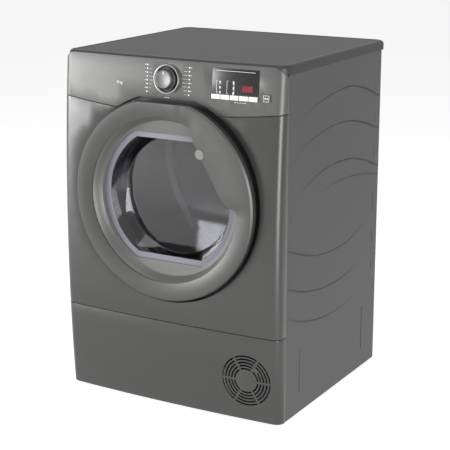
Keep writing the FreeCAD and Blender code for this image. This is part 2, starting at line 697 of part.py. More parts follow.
def make_filter():
    """A flat fluff filter with a finger bar, standing in the pocket under the loading throat."""
    body = new_body("lint_filter")
    half = "(filter_width / 2)"
    slab(body, "XZ", "filter_front", "filter_thick",
         lambda s: rectangle(s, f"-{half}", half, "filter_low", "filter_low + filter_depth"))
    opening(body, "XZ", "filter_front + 2", "filter_thick",
            lambda s: rectangle(s, f"-{half} + 4", f"{half} - 4", "filter_low + 4",
                                "filter_low + filter_depth - 14"))
    mesh = new_sketch(body, "XZ", "filter_front - 1")
    for column in range(6):
        for line in range(4):
            left = f"(-{half} + 8 + {column} * ({half} * 2 - 14) / 6)"
            low = f"(filter_low + 8 + {line} * (filter_depth - 24) / 4)"
            rectangle(mesh, left, f"{left} + ({half} * 2 - 14) / 6 - 3", low, f"{low} + (filter_depth - 24) / 4 - 3")
    cut(body, mesh, "4")
    return body


# ---------------------------------------------------------------- door
def make_door_outer_frame():
    """The dished front ring and, in one moulding with it, the crescent whose left edge is the grip."""
    body = new_body("door_outer_frame", z="door_height")
    wall = "door_wall"
    dished = "((door_outer - 4 - grip_reach) * face_dish / (door_outer - 4 - face_inner))"
    revolve(body, [
        ("-cover_front", "door_outer"), ("door_face + 4", "door_outer"), ("door_face", "door_outer - 4"),
        (f"door_face + {dished}", "grip_reach"), (f"door_face + {dished} + {wall}", "grip_reach"),
        (f"door_face + {wall}", "door_outer - 4"), ("door_face + 4", f"door_outer - {wall}"),
        ("-cover_front", f"door_outer - {wall}")])
    opening(body, "XZ", "door_face - 1", "door_stand_out * 2", lambda s: rectangle(
        s, "-door_outer", "door_outer", "door_flat", "door_outer + 1"))
    half_flat = "sqrt(door_outer ^ 2 - door_flat ^ 2)"
    slab(body, "XY", f"door_flat - {wall}", wall, lambda s: rectangle(
        s, f"-({half_flat})", half_flat, "door_face + 3", "-cover_front"))
    # what is left inside the ring is the crescent
    rim = "face_inner"
    opening(body, "XZ", "door_face - 1", "door_stand_out", lambda s: outline(s, [
        (f"sqrt({rim} ^ 2 - grip_top ^ 2)", "grip_top"), ("grip_shoulder_x", "grip_shoulder"),
        ("grip_waist_x", "grip_waist"), ("grip_heel_x", "grip_heel"),
        (f"sqrt({rim} ^ 2 - grip_tip ^ 2)", "-grip_tip"), ("0", f"-{rim}"), (f"-{rim}", "0"), ("0", rim)],
        {2: "grip_waist_round", 3: "-grip_tip_round", 4: f"-({rim})", 5: f"-({rim})", 6: f"-({rim})",
         7: f"-({rim})"}))
    # the hinge's knuckle and ears swing through this notch in the rear edge
    opening(body, "XY", "-hinge_notch", "hinge_notch * 2", lambda s: rectangle(
        s, "-(door_outer + 5)", "-(hinge_x - 5)", "door_face + 4.2", "0"))
    return body


def make_door_inner_frame():
    """The cone and disc inside the ring, with the window's opening cut level at top and bottom."""
    body = new_body("door_inner_frame", z="door_height")
    start = "(face_edge + door_wall)"
    thick = "door_wall"
    revolve(body, [
        (start, "face_inner"), ("disc_face", "disc_radius"), ("disc_face", "0"), (f"disc_face + {thick}", "0"),
        (f"disc_face + {thick}", f"disc_radius + {thick}"), (f"{start} + {thick}", f"face_inner + {thick}"),
        (f"{start} + {thick}", "face_inner + 8"), (start, "face_inner + 8")])
    half = "sqrt(window_radius ^ 2 - window_half ^ 2)"
    opening(body, "XZ", "disc_face - 1", "10", lambda s: outline(s, [
        (f"-{half}", "window_half"), (f"-{half}", "-window_half"), (half, "-window_half"),
        (half, "window_half")], {0: "window_radius", 2: "window_radius"}))
    return body


def make_door_glass():
    """The clear bowl: a flange behind the disc and a tapered wall that reaches into the throat."""
    front = "(disc_face + door_wall)"
    turned("door_window", "0", "door_height", [
        (front, "bowl_front"), (front, "bowl_flange"), (f"{front} + glass", "bowl_flange"),
        (f"{front} + glass", "bowl_front + glass"), ("bowl_depth - 6", "bowl_rear + 2"),
        ("bowl_depth", "bowl_rear - glass"), ("bowl_depth", "0"), ("bowl_depth - glass", "0"),
        ("bowl_depth - glass", "bowl_rear - glass * 2"), ("bowl_depth - glass - 5", "bowl_rear - glass + 1")])


def make_door_rear():
    """The rear cover that closes the ring, the soft seal, the latch hook and the hinge leaf."""
    body = new_body("door_back_cover", z="door_height")
    lid = "(-cover_front + door_wall)"
    inner = "(bowl_flange + 2)"
    revolve(body, [
        ("-cover_front", "cover_radius - door_wall"), ("-cover_front", "door_outer - 1"),
        (lid, "door_outer - 1"), (lid, "cover_radius"), ("-cover_rear", "cover_radius"),
        ("-cover_rear", inner), ("disc_face + door_wall", inner),
        ("disc_face + door_wall", "cover_radius - door_wall")])
    opening(body, "XZ", "-cover_front - 1", "cover_front", lambda s: rectangle(
        s, "-door_outer", "door_outer", "door_flat - 0.5", "door_outer + 1"))
    opening(body, "XY", "-hinge_notch", "hinge_notch * 2", lambda s: rectangle(
        s, "-(door_outer + 5)", "-(seal_radius + 1)", "-cover_front - 1", "0"))
    turned("door_seal", "0", "door_height", ring_corners(
        "seal_radius - seal_width", "seal_radius", "-cover_rear", "recess_depth - running_gap"))
    hook = new_body("latch_hook", x="latch_x", z="door_height")
    slab(hook, "XY", "-hook_tall / 2", "hook_tall", lambda s: outline(s, [
        ("-2.5", "-cover_rear"), ("2.5", "-cover_rear"), ("2.5", "hook_reach - 6"), ("5", "hook_reach - 4"),
        ("2.5", "hook_reach"), ("-2.5", "hook_reach")]))
    leaf = new_body("hinge_leaf", x="-hinge_x", y="hinge_y", z="door_height")
    reach = "(hinge_x - face_inner - 8.3)"
    tall = "(hinge_pitch - ear_height - running_gap * 2)"
    slab(leaf, "XY", f"-{tall} / 2", tall, lambda s: circle(s, "knuckle_radius"))
    slab(leaf, "XY", f"-{tall} / 2", tall, lambda s: rectangle(s, "0", reach, "-4", "0.2"))
    opening(leaf, "XY", "-hinge_pitch", "hinge_pitch * 2", lambda s: circle(s, "pin_radius + pin_clearance"))


def make_hinge_bracket():
    """Two swan-necked ears on a foot that is screwed to the recess floor, and the pin across them."""
    body = new_body("hinge_bracket", x="-hinge_x", y="hinge_y", z="door_height")
    foot = "(hinge_stand_out + recess_depth - 1.6)"
    ear = [("knuckle_radius * cos(50)", "knuckle_radius * sin(50)"), ("9", "12"), ("10", foot), ("25", foot),
           ("knuckle_radius * cos(45)", "-knuckle_radius * sin(45)"), ("-knuckle_radius", "0")]
    for level in ("hinge_pitch / 2", "-hinge_pitch / 2"):
        slab(body, "XY", f"{level} - ear_height / 2", "ear_height",
             lambda s: outline(s, ear, {4: "-knuckle_radius", 5: "-knuckle_radius"}))
    slab(body, "XZ", foot, "1.6", lambda s: rectangle(
        s, "3", "25", "-(hinge_pitch + ear_height) / 2", "(hinge_pitch + ear_height) / 2"))
    opening(body, "XY", "-hinge_pitch", "hinge_pitch * 2", lambda s: circle(s, "pin_radius"))
    pin_length = "(hinge_pitch + ear_height + 3)"
    keep("hinge_pin", rod("Z", "pin_radius", ("-hinge_x", "hinge_y", f"door_height - {pin_length} / 2"),
                          pin_length))


def make_door_catch():
    """The sprung catch behind the recess floor, with the slot that the hook enters."""
    half = "catch_tall / 2"
    block = box(("latch_x - 14", "recess_depth + wall_sheet", f"door_height - {half}"),
                ("latch_x + 14", "hook_reach + 8", f"door_height + {half}"))
    slot = box(("latch_x - hook_slot", "recess_depth", "door_height - hook_tall / 2 - 2"),
               ("latch_x + hook_slot", "hook_reach + 4", "door_height + hook_tall / 2 + 2"))
    keep("door_catch", without(block, slot))


# ---------------------------------------------------------------- drum
def make_drum():
    skin = "(drum_radius - drum_sheet)"
    turned("drum_shell", "0", "door_height", [
        ("drum_front", "drum_mouth"), ("drum_front", "drum_radius"), ("drum_rear", "drum_radius"),
        ("drum_rear", skin), ("drum_front + drum_sheet", skin), ("drum_front + drum_sheet", "drum_mouth")])
    back = new_body("drum_rear_wall", z="door_height")
    rim, hub = "(drum_rear - 6)", "(drum_rear - 13)"
    revolve(back, [
        (hub, "0"), (hub, "150"), (rim, "180"), (rim, skin), (f"{rim} + drum_sheet", skin),
        (f"{rim} + drum_sheet", "180"), (f"{hub} + drum_sheet", "150"), (f"{hub} + drum_sheet", "0")])
    for radius in ("air_hole_inner", "air_hole_outer"):
        sketch = new_sketch(back, "XZ", "drum_rear - 20")
        circle(sketch, "air_hole", "0", radius)
        spin_copies(back, cut(back, sketch, "30"), "air_hole_count")
    lifters = new_body("drum_lifters", z="door_height")
    foot, tip = "(lifter_width / 2)", "(lifter_width / 7)"
    crest = f"({skin} - lifter_height)"
    seat = "(drum_radius - drum_sheet - 0.1)"
    first = slab(lifters, "XZ", "drum_front + 14", "drum_rear - drum_front - 34", lambda s: outline(s, [
        (f"-{foot}", f"-sqrt({seat} ^ 2 - {foot} ^ 2)"), (foot, f"-sqrt({seat} ^ 2 - {foot} ^ 2)"),
        (tip, f"-{crest}"), (f"-{tip}", f"-{crest}")], {0: seat, 2: f"({tip} * 1.3)"}))
    spin_copies(lifters, first, "lifter_count")
    turned("drum_shaft", "0", "door_height", [
        (f"{hub} + drum_sheet", "0"), (f"{hub} + drum_sheet", "70"), (f"{hub} + drum_sheet + 3", "70"),
        (f"{hub} + drum_sheet + 3", "shaft_radius"), ("rear_wall + 17", "shaft_radius"),
        ("rear_wall + 17", "0")])
    turned("rear_bearing", "0", "door_height", ring_corners(
        "shaft_radius + shaft_clearance", "bearing_radius", "rear_wall - 7", "rear_wall + 9"))
    turned("front_felt_seal", "0", "door_height", ring_corners(
        "drum_mouth + 4", "drum_mouth + 20", "front_wall + wall_sheet", "drum_front - running_gap"))
    turned("rear_felt_seal", "0", "door_height", ring_corners(
        "drum_radius - 22", "drum_radius - 3", "drum_rear + running_gap", "rear_wall"))
    for side, sign in (("left", "-"), ("right", "")):
        turned("support_roller_" + side, f"{sign}({ROLLER_X})", ROLLER_Z, ring_corners(
            "roller_pin + shaft_clearance", "roller_radius", "roller_front", "roller_front + roller_width"))


# ---------------------------------------------------------------- drive
def make_motor():
    turned("motor_body", "motor_x", "motor_z", [
        ("motor_front", "axle_radius + 0.5"), ("motor_front", "motor_radius / 2"),
        ("motor_front + 10", "motor_radius"), ("motor_rear - 10", "motor_radius"),
        ("motor_rear", "motor_radius / 2"), ("motor_rear", "axle_radius + 0.5")])
    cheek = "(groove_radius + 2)"
    turned("motor_shaft", "motor_x", "motor_z", [
        ("cooling_front + 2", "0"), ("cooling_front + 2", "axle_radius"), ("belt_front - 4", "axle_radius"),
        ("belt_front - 4", cheek), ("belt_front - 1", cheek), ("belt_front - 1", "groove_radius"),
        ("belt_front + belt_width + 1", "groove_radius"), ("belt_front + belt_width + 1", cheek),
        ("belt_front + belt_width + 4", cheek), ("belt_front + belt_width + 4", "axle_radius"),
        ("process_front + process_width - 4", "axle_radius"), ("process_front + process_width - 4", "0")])
    floor_top = "(base_floor + base_sheet)"
    half = "(motor_radius + 5)"
    front, rear = "(motor_front + 15)", "(motor_rear - 19)"
    plates = [box((f"motor_x - {half}", y, floor_top), (f"motor_x + {half}", f"{y} + 4", "motor_z"))
              for y in (front, rear)]
    sole = box((f"motor_x - {half}", front, floor_top), (f"motor_x + {half}", rear, f"{floor_top} + 3"))
    ear = box((f"motor_x - {half}", rear, "motor_z - 20"), ("arm_x + 14", f"{rear} + 4", "arm_z + 12"))
    stud = rod("Y", "5", ("arm_x", rear, "arm_z"), f"belt_front - 6 - {rear}")
    keep("motor_bracket", joined(without(joined(*plates, sole, ear), rod(
        "Y", "motor_radius", ("motor_x", "motor_front", "motor_z"), "motor_rear - motor_front")), stud))


def make_fan(label, front, width):
    """A hub, a back plate and flat radial blades."""
    body = new_body(label, x="motor_x", z="motor_z")
    hub_front, hub_rear = f"({front} + 5)", f"({front} + {width} - 7)"
    revolve(body, [
        (hub_front, "axle_radius"), (hub_front, "16"), (f"{hub_rear} - 2", "16"),
        (f"{hub_rear} - 2", "fan_radius"), (hub_rear, "fan_radius"), (hub_rear, "axle_radius")])
    blade = slab(body, "XZ", hub_front, f"{hub_rear} - {hub_front}",
                 lambda s: rectangle(s, "-0.8", "0.8", "15", "fan_radius - 0.5"))
    spin_copies(body, blade, "fan_blades")
    return body


def make_fan_cases():
    case = "(fan_case + 3)"
    body = new_body("cooling_fan_housing", x="motor_x", z="motor_z")
    rear = "(cooling_front + cooling_width)"
    revolve(body, [
        ("cooling_front - 2", "fan_radius - 16"), ("cooling_front - 2", case), (f"{rear} + 2", case),
        (f"{rear} + 2", "30"), (rear, "30"), (rear, "fan_case"), ("cooling_front", "fan_case"),
        ("cooling_front", "fan_radius - 16")])
    slab(body, "XZ", "cooling_front + 4", "cooling_width - 8", lambda s: outline(s, [
        ("-24", "-(motor_z - base_floor - base_sheet)"), ("24", "-(motor_z - base_floor - base_sheet)"),
        ("24", "-sqrt((fan_case + 1) ^ 2 - 576)"), ("-24", "-sqrt((fan_case + 1) ^ 2 - 576)")],
        {2: "-(fan_case + 1)"}))
    duct = new_body("process_duct")
    side, low, top = "(fan_case + 8)", "(base_floor + base_sheet)", "(door_height + 200)"
    plate, back = "(rear_wall + wall_sheet)", "(side_rear - 6)"
    left, right = f"(motor_x - {side})", f"(motor_x + {side})"
    slab(duct, "XZ", f"{plate} - 3", "3", lambda s: rectangle(s, left, right, low, "motor_z + duct_half"))
    slab(duct, "XZ", plate, f"{back} - {plate}", lambda s: rectangle(s, left, right, low, top))
    opening(duct, "XZ", plate, f"{back} - {plate} - 3", lambda s: rectangle(
        s, f"{left} + 3", f"{right} - 3", f"{low} + 3", f"{top} - 3"))
    slab(duct, "XZ", "process_front - 2", f"{plate} - process_front + 2",
         lambda s: circle(s, case, "motor_x", "motor_z"))
    opening(duct, "XZ", "process_front", f"{plate} - process_front + 1",
            lambda s: circle(s, "fan_case", "motor_x", "motor_z"))
    opening(duct, "XZ", "process_front - 3", "4", lambda s: circle(s, "fan_radius - 22", "motor_x", "motor_z"))
    # the heater: straight rods joined at alternate ends, standing in the duct
    middle = f"(({plate} + {back} - 3) / 2)"
    rods = []
    near, far = f"({left} + 14)", f"({right} - 14)"
    for row in range(5):
        height = f"(heater_low + {row} * heater_pitch)"
        start = f"{left} + 3" if row in (0, 4) else near
        rods.append(rod("X", "heater_rod", (start, middle, height), f"{far} - ({start})"))
        if row < 4:
            rods.append(rod("Z", "heater_rod", (near if row % 2 else far, middle, height), "heater_pitch"))
    keep("heater_element", joined(*rods))


def belt_loop(sketch, grow):
    """The belt's path round the drum, the motor's groove and the idler, as arcs joined by tangents."""
    wheels = [("0", "door_height", f"(drum_outer + {grow})"),
              ("idler_x", "idler_z", f"(idler_radius + running_gap + {grow})"),
              ("motor_x", "motor_z", f"(groove_radius + running_gap + {grow})")]
    spots = []
    for this in range(3):
        (ax, az, ar), (bx, bz, br) = [[number(text) for text in wheels[k % 3]] for k in (this, this + 1)]
        away = math.atan2(bz - az, bx - ax) - math.acos((ar - br) / math.hypot(bx - ax, bz - az))
        spots.append([FreeCAD.Vector(x + r * math.cos(away), z + r * math.sin(away), 0)
                      for x, z, r in ((ax, az, ar), (bx, bz, br))])
    first = sketch.GeometryCount
    for this, (x, z, radius) in enumerate(wheels):
        arrive, leave = spots[this - 1][1], spots[this][0]
        centre = FreeCAD.Vector(number(x), number(z), 0)
        begin = math.atan2(arrive.y - centre.y, arrive.x - centre.x)
        end = math.atan2(leave.y - centre.y, leave.x - centre.x)
        while end < begin:
            end += 2 * math.pi
        edge = sketch.addGeometry(Part.ArcOfCircle(
            Part.Circle(centre, FreeCAD.Vector(0, 0, 1), number(radius)), begin, end), False)
        sketch.addGeometry(Part.LineSegment(leave, spots[this][1]), False)
        place_point(sketch, edge, 3, x, z)
        index = sketch.addConstraint(Sketcher.Constraint("Radius", edge, number(radius)))
        bind(sketch, f"Constraints[{index}]", radius)
    for this in range(3):
        edge = first + 2 * this
        following = first + (2 * this + 2) % 6
        sketch.addConstraint(Sketcher.Constraint("Tangent", edge, 2, edge + 1, 1))
        sketch.addConstraint(Sketcher.Constraint("Tangent", edge + 1, 2, following, 1))


def make_belt_and_idler():
    belt = new_body("drive_belt")
    sketch = new_sketch(belt, "XZ", "belt_front")
    belt_loop(sketch, "belt_thick")
    belt_loop(sketch, "0")
    pad(belt, sketch, "belt_width")
    arm = new_body("idler_arm", x="arm_x", z="arm_z")
    reach_x, reach_z = "(idler_x - arm_x)", "(idler_z - arm_z)"
    length = f"sqrt({reach_x} ^ 2 + {reach_z} ^ 2)"
    side_x, side_z = f"(-{reach_z} / {length} * arm_round)", f"({reach_x} / {length} * arm_round)"
    arm_front = "(belt_front - arm_sheet * 3)"
    slab(arm, "XZ", arm_front, "arm_sheet", lambda s: outline(s, [
        (side_x, side_z), (f"{reach_x} + {side_x}", f"{reach_z} + {side_z}"),
        (f"{reach_x} - {side_x}", f"{reach_z} - {side_z}"), (f"-{side_x}", f"-{side_z}")],
        {1: "-(arm_round + 0.01)", 3: "-(arm_round + 0.01)"}))
    slab(arm, "XZ", arm_front, f"belt_front + belt_width + 3 - {arm_front}",
         lambda s: circle(s, "5", reach_x, reach_z))
    opening(arm, "XZ", f"{arm_front} - 1", "arm_sheet + 2", lambda s: circle(s, "5 + shaft_clearance"))
    turned("idler_pulley", "idler_x", "idler_z", ring_corners(
        "5 + shaft_clearance", "idler_radius", "belt_front - 1", "belt_front + belt_width + 1"))


# ---------------------------------------------------------------- condenser, water container and pump
def make_condenser():
    """The slide-out heat exchanger: a block with rows of cross slots behind a front plate with a grip."""
    left, right = "-(tunnel_left - base_sheet - slide_gap)", "-(tunnel_right + base_sheet + slide_gap)"
    low, high = "(base_floor + base_sheet + running_gap)", "(tunnel_top - base_sheet - slide_gap)"
    front, rear = "condenser_front", "(condenser_front + condenser_depth)"
    block = box((left, front, low), (right, rear, high))
    slots = []
    pitch = f"(({high} - {low} - 12) / fin_slots)"
    for row in range(int(number("fin_slots"))):
        base = f"({low} + 7 + {row} * {pitch})"
        slots.append(box((f"{left} - 1", f"{front} + 24", base),
                         (f"{right} + 1", f"{rear} - 24", f"{base} + {pitch} * 0.8")))
    middle = f"(({left} + {right}) / 2)"
    grip = without(
        box((f"{middle} - 45", f"{front} - 16", f"{high} - 60"), (f"{middle} + 45", front, f"{high} - 40")),
        box((f"{middle} - 38", f"{front} - 11", f"{high} - 61"), (f"{middle} + 38", front, f"{high} - 39")))
    keep("condenser", joined(without(block, *slots), grip))


def make_water_container():
    low, high = "tank_floor", "(tank_floor + tank_height)"
    rear = "(tank_front + tank_depth)"
    block = box(("-tank_left", "tank_front", low), ("tank_right", rear, high))
    inside = box(("-tank_left + tank_wall", "tank_front + tank_wall", f"{low} + tank_wall"),
                 ("tank_right - tank_wall", f"{rear} - tank_wall", f"{high} - tank_wall"))
    mouth = rod("Z", "tank_mouth", ("hose_x", f"{rear} - tank_mouth * 2", f"{high} - tank_wall - 1"),
                "tank_wall + 2")
    middle = "((tank_right - tank_left) / 2)"
    grip = without(
        box((f"{middle} - 40", "tank_front - 14", f"{high} - 40"), (f"{middle} + 40", "tank_front", f"{high} - 22")),
        box((f"{middle} - 34", "tank_front - 10", f"{high} - 41"), (f"{middle} + 34", "tank_front", f"{high} - 21")))
    keep("water_container", joined(without(block, inside, mouth), grip))


def make_pump():
    """The condensate pump behind the tunnel, and the hose that it fills the container through."""
    floor_top = "(base_floor + base_sheet)"
    body = box(("pump_x - 30", "pump_y - 30", floor_top), ("pump_x + 30", "pump_y + 30", f"{floor_top} + 40"))
    motor = rod("Z", "22", ("pump_x", "pump_y", f"{floor_top} + 40"), "18")
    keep("condensate_pump", joined(body, motor))
    high = number("tank_floor + tank_height + hose_radius + 6")
    shift = number("front_shift")
    start = FreeCAD.Vector(number("pump_x"), number("pump_y") + shift, number(f"{floor_top} + 58"))
    turn_up = FreeCAD.Vector(start.x, start.y, high)
    turn_out = FreeCAD.Vector(number("hose_x"), start.y, high)
    end = FreeCAD.Vector(turn_out.x, number("tank_front + tank_depth - tank_mouth * 2") + shift, high)
    edges = []
    point = start
    for corner, following in ((turn_up, turn_out), (turn_out, end)):
        radius = number("hose_bend")
        into = (corner - point).normalize()
        away = (following - corner).normalize()
        arrive, leave = corner - into * radius, corner + away * radius
        middle = corner + (away - into) * radius * (1 - math.sqrt(0.5))
        edges += [Part.LineSegment(point, arrive).toShape(), Part.Arc(arrive, middle, leave).toShape()]
        point = leave
    edges.append(Part.LineSegment(point, end).toShape())
    ring = Part.Wire([Part.Circle(start, FreeCAD.Vector(0, 0, 1), number("hose_radius")).toShape()])
    hose = doc.addObject("Part::Feature", "Hose")
    hose.Shape = Part.Wire(edges).makePipeShell([ring], True, False)
    keep("condensate_hose", hose)


def make_control_board():
    keep("control_board", box(("-70", "24", "display_low - 26"), ("display_left + display_wide", "front_wall",
                                                              "side_top - rail_tall - 4")))


# ---------------------------------------------------------------- the whole machine
make_worktop()
make_side_panel("left_side_panel", "-")
make_side_panel("right_side_panel", "")
make_rear()
make_base()
make_top_rails()
make_front_panel()
make_control_fascia()
make_display()
make_knob()
for place in range(5):
    make_button(f"option_button_{place + 1}", f"(display_left + {place} * button_pitch)", "button_wide",
                "button_low", "button_tall")
make_button("start_button", "start_x", "start_size", "start_low", "start_size")
make_front_bulkhead()
make_rear_bulkhead()
make_filter()
make_door_outer_frame()
make_door_inner_frame()
make_door_glass()
make_door_rear()
make_hinge_bracket()
make_door_catch()
make_drum()
make_motor()
make_fan("cooling_fan", "cooling_front", "cooling_width")
make_fan("process_fan", "process_front", "process_width")
make_fan_cases()
make_belt_and_idler()
make_kickplate()
make_condenser()
make_water_container()
make_pump()
make_control_board()
doc.recompute()

for thing in doc.Objects:
    if {"Invalid", "Error"} & set(thing.State):
        raise RuntimeError(f"{thing.Name} ({thing.Label}) did not build: {thing.State}")
for label, thing in PARTS:
    if thing.Shape.isNull() or not thing.Shape.isValid():
        raise RuntimeError(label + ": no valid shape")

os.makedirs("parts", exist_ok=True)
for label, thing in PARTS:
    thing.Shape.exportStep(f"parts/{label}.step")
print(len(PARTS), "sub-parts written")
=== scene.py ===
"""A free-standing condenser tumble dryer in graphite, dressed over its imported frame."""
import math

import bmesh
import bpy
from mathutils import Matrix, Vector


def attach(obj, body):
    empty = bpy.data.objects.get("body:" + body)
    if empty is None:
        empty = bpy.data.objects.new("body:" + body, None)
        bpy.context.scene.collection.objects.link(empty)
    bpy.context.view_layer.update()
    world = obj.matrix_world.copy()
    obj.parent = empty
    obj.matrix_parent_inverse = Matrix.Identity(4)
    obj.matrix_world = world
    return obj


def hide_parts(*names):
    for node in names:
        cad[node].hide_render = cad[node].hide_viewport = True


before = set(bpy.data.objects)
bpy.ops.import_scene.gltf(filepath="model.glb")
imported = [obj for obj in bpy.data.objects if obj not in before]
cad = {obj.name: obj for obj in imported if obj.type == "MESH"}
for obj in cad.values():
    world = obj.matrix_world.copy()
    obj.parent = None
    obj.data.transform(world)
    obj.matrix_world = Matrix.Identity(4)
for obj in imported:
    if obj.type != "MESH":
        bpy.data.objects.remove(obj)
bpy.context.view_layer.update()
scene = bpy.context.scene

# ---------------------------------------------------------------- studio
# A pale floor, a white surround and soft lamps: a broad one above and to the left,
# a tall strip at the right that draws the bright line down the rounded front corner.


def linear(hex_colour):
    """An sRGB hex colour as linear red, green, blue, alpha."""
    parts = [int(hex_colour[i:i + 2], 16) / 255 for i in (1, 3, 5)]
    return tuple([p / 12.92 if p <= 0.04045 else ((p + 0.055) / 1.055) ** 2.4 for p in parts] + [1.0])


def add_node(tree, kind, inputs=None, links=None, **settings):
    """Add a shader node with its settings, its unlinked input values and its incoming links."""
    node = tree.nodes.new(kind)
    for name, value in settings.items():
        setattr(node, name, value)
    for name, value in (inputs or {}).items():
        node.inputs[name].default_value = value
    for name, source in (links or {}).items():
        tree.links.new(source, node.inputs[name])
    return node


def blank_material(name):
    material = bpy.data.materials.new(name)
    material.use_nodes = True
    material.node_tree.nodes.clear()
    return material, material.node_tree


scene.view_settings.view_transform = "Standard"

camera = bpy.data.objects.new("camera", bpy.data.cameras.new("camera"))
scene.collection.objects.link(camera)
camera.data.sensor_width = 36
camera.data.lens = 106.36
camera.data.clip_end = 50
camera.location = (1.6194, -2.8191, 1.2612)
camera.rotation_euler = (math.radians(90 - 14.91), 0, math.radians(29.90))
scene.camera = camera

world = bpy.data.worlds.new("white_surround")
world.use_nodes = True
world.node_tree.nodes.clear()
rays = add_node(world.node_tree, "ShaderNodeLightPath")
seen = add_node(world.node_tree, "ShaderNodeMath", operation="MAXIMUM", links={
    0: rays.outputs["Is Camera Ray"], 1: rays.outputs["Is Transmission Ray"]})
seen = add_node(world.node_tree, "ShaderNodeMath", operation="MAXIMUM", links={
    0: seen.outputs[0], 1: rays.outputs["Is Glossy Ray"]})
white = add_node(world.node_tree, "ShaderNodeBackground", {"Color": (1, 1, 1, 1), "Strength": 1.0})
soft = add_node(world.node_tree, "ShaderNodeBackground", {"Color": (1, 1, 1, 1), "Strength": 0.24})
both = add_node(world.node_tree, "ShaderNodeMixShader", links={
    0: seen.outputs[0], 1: soft.outputs[0], 2: white.outputs[0]})
add_node(world.node_tree, "ShaderNodeOutputWorld", links={"Surface": both.outputs[0]})
scene.world = world

floor_mesh = bpy.data.meshes.new("floor")
shaper = bmesh.new()
bmesh.ops.create_grid(shaper, x_segments=1, y_segments=1, size=12)
shaper.to_mesh(floor_mesh)
shaper.free()
floor = bpy.data.objects.new("floor", floor_mesh)
scene.collection.objects.link(floor)
floor.location.z = -0.0002
floor_paint, tree = blank_material("white_studio_floor")
matt = add_node(tree, "ShaderNodeBsdfDiffuse", {"Color": (0.8, 0.8, 0.8, 1)})
glow = add_node(tree, "ShaderNodeEmission", {"Color": (1, 1, 1, 1), "Strength": 0.72})
lit = add_node(tree, "ShaderNodeAddShader", links={0: matt.outputs[0], 1: glow.outputs[0]})
rays = add_node(tree, "ShaderNodeLightPath")
seen = add_node(tree, "ShaderNodeMath", operation="MAXIMUM", links={
    0: rays.outputs["Is Camera Ray"], 1: rays.outputs["Is Transmission Ray"]})
seen = add_node(tree, "ShaderNodeMath", operation="MAXIMUM", links={
    0: seen.outputs[0], 1: rays.outputs["Is Glossy Ray"]})
shown = add_node(tree, "ShaderNodeMixShader", links={
    0: seen.outputs[0], 1: matt.outputs[0], 2: lit.outputs[0]})
add_node(tree, "ShaderNodeOutputMaterial", links={"Surface": shown.outputs[0]})
floor_mesh.materials.append(floor_paint)


def lamp(name, place, aim, width, height, watts):
    data = bpy.data.lights.new(name, "AREA")
    data.shape = "RECTANGLE"
    data.size, data.size_y, data.energy = width, height, watts
    thing = bpy.data.objects.new(name, data)
    scene.collection.objects.link(thing)
    thing.location = place
    thing.rotation_euler = (Vector(aim) - Vector(place)).to_track_quat("-Z", "Y").to_euler()
    return thing


lamp("left_softbox", (-2.8, -2.2, 0.95), (0, -0.3, 0.5), 1.6, 1.4, 135)
lamp("overhead_softbox", (0.3, -0.9, 3.0), (0, -0.2, 0.6), 1.4, 1.4, 14)
lamp("right_softbox", (1.75, -1.35, 0.6), (0.29, -0.24, 0.42), 1.0, 1.3, 42)

# ---------------------------------------------------------------- materials of the whole cabinet
# Graphite stoving paint over zinc-coated sheet: a fine metallic flake under a clear coat, so it
# goes from mid grey facing the light to near black away from it, with a soft broad shine.


def dressed(node_or_piece, material):
    """Give a mesh one material on all of its faces."""
    data = node_or_piece.data
    if data.users > 1:
        data = node_or_piece.data = data.copy()
    data.materials.clear()
    data.materials.append(material)
    for face in data.polygons:
        face.material_index = 0
    return node_or_piece


def metallic_paint(name, colour, roughness=0.36, metallic=0.35, flake=0.06, coat=0.35):
    """Flake paint: noise at the size of the flakes varies the colour and the surface a little."""
    material, tree = blank_material(name)
    place = add_node(tree, "ShaderNodeTexCoord")
    grains = add_node(tree, "ShaderNodeTexNoise", {"Scale": 1500.0, "Detail": 2.0},
                      {"Vector": place.outputs["Object"]})
    drift = add_node(tree, "ShaderNodeTexNoise", {"Scale": 3.0, "Detail": 1.0},
                     {"Vector": place.outputs["Object"]})
    blend = add_node(tree, "ShaderNodeMath", operation="MULTIPLY_ADD", inputs={1: flake, 2: 1 - flake / 2},
                     links={0: grains.outputs["Fac"]})
    shade = add_node(tree, "ShaderNodeMath", operation="MULTIPLY_ADD", inputs={1: 0.06},
                     links={0: drift.outputs["Fac"], 2: blend.outputs[0]})
    tint = add_node(tree, "ShaderNodeVectorMath", operation="SCALE", inputs={0: linear(colour)[:3]},
                    links={"Scale": shade.outputs[0]})
    bump = add_node(tree, "ShaderNodeBump", {"Strength": 0.05, "Distance": 0.0002},
                    {"Height": grains.outputs["Fac"]})
    skin = add_node(tree, "ShaderNodeBsdfPrincipled",
                    {"Metallic": metallic, "Roughness": roughness, "Coat Weight": coat, "Coat Roughness": 0.12},
                    {"Base Color": tint.outputs[0], "Normal": bump.outputs[0]})
    add_node(tree, "ShaderNodeOutputMaterial", links={"Surface": skin.outputs[0]})
    return material


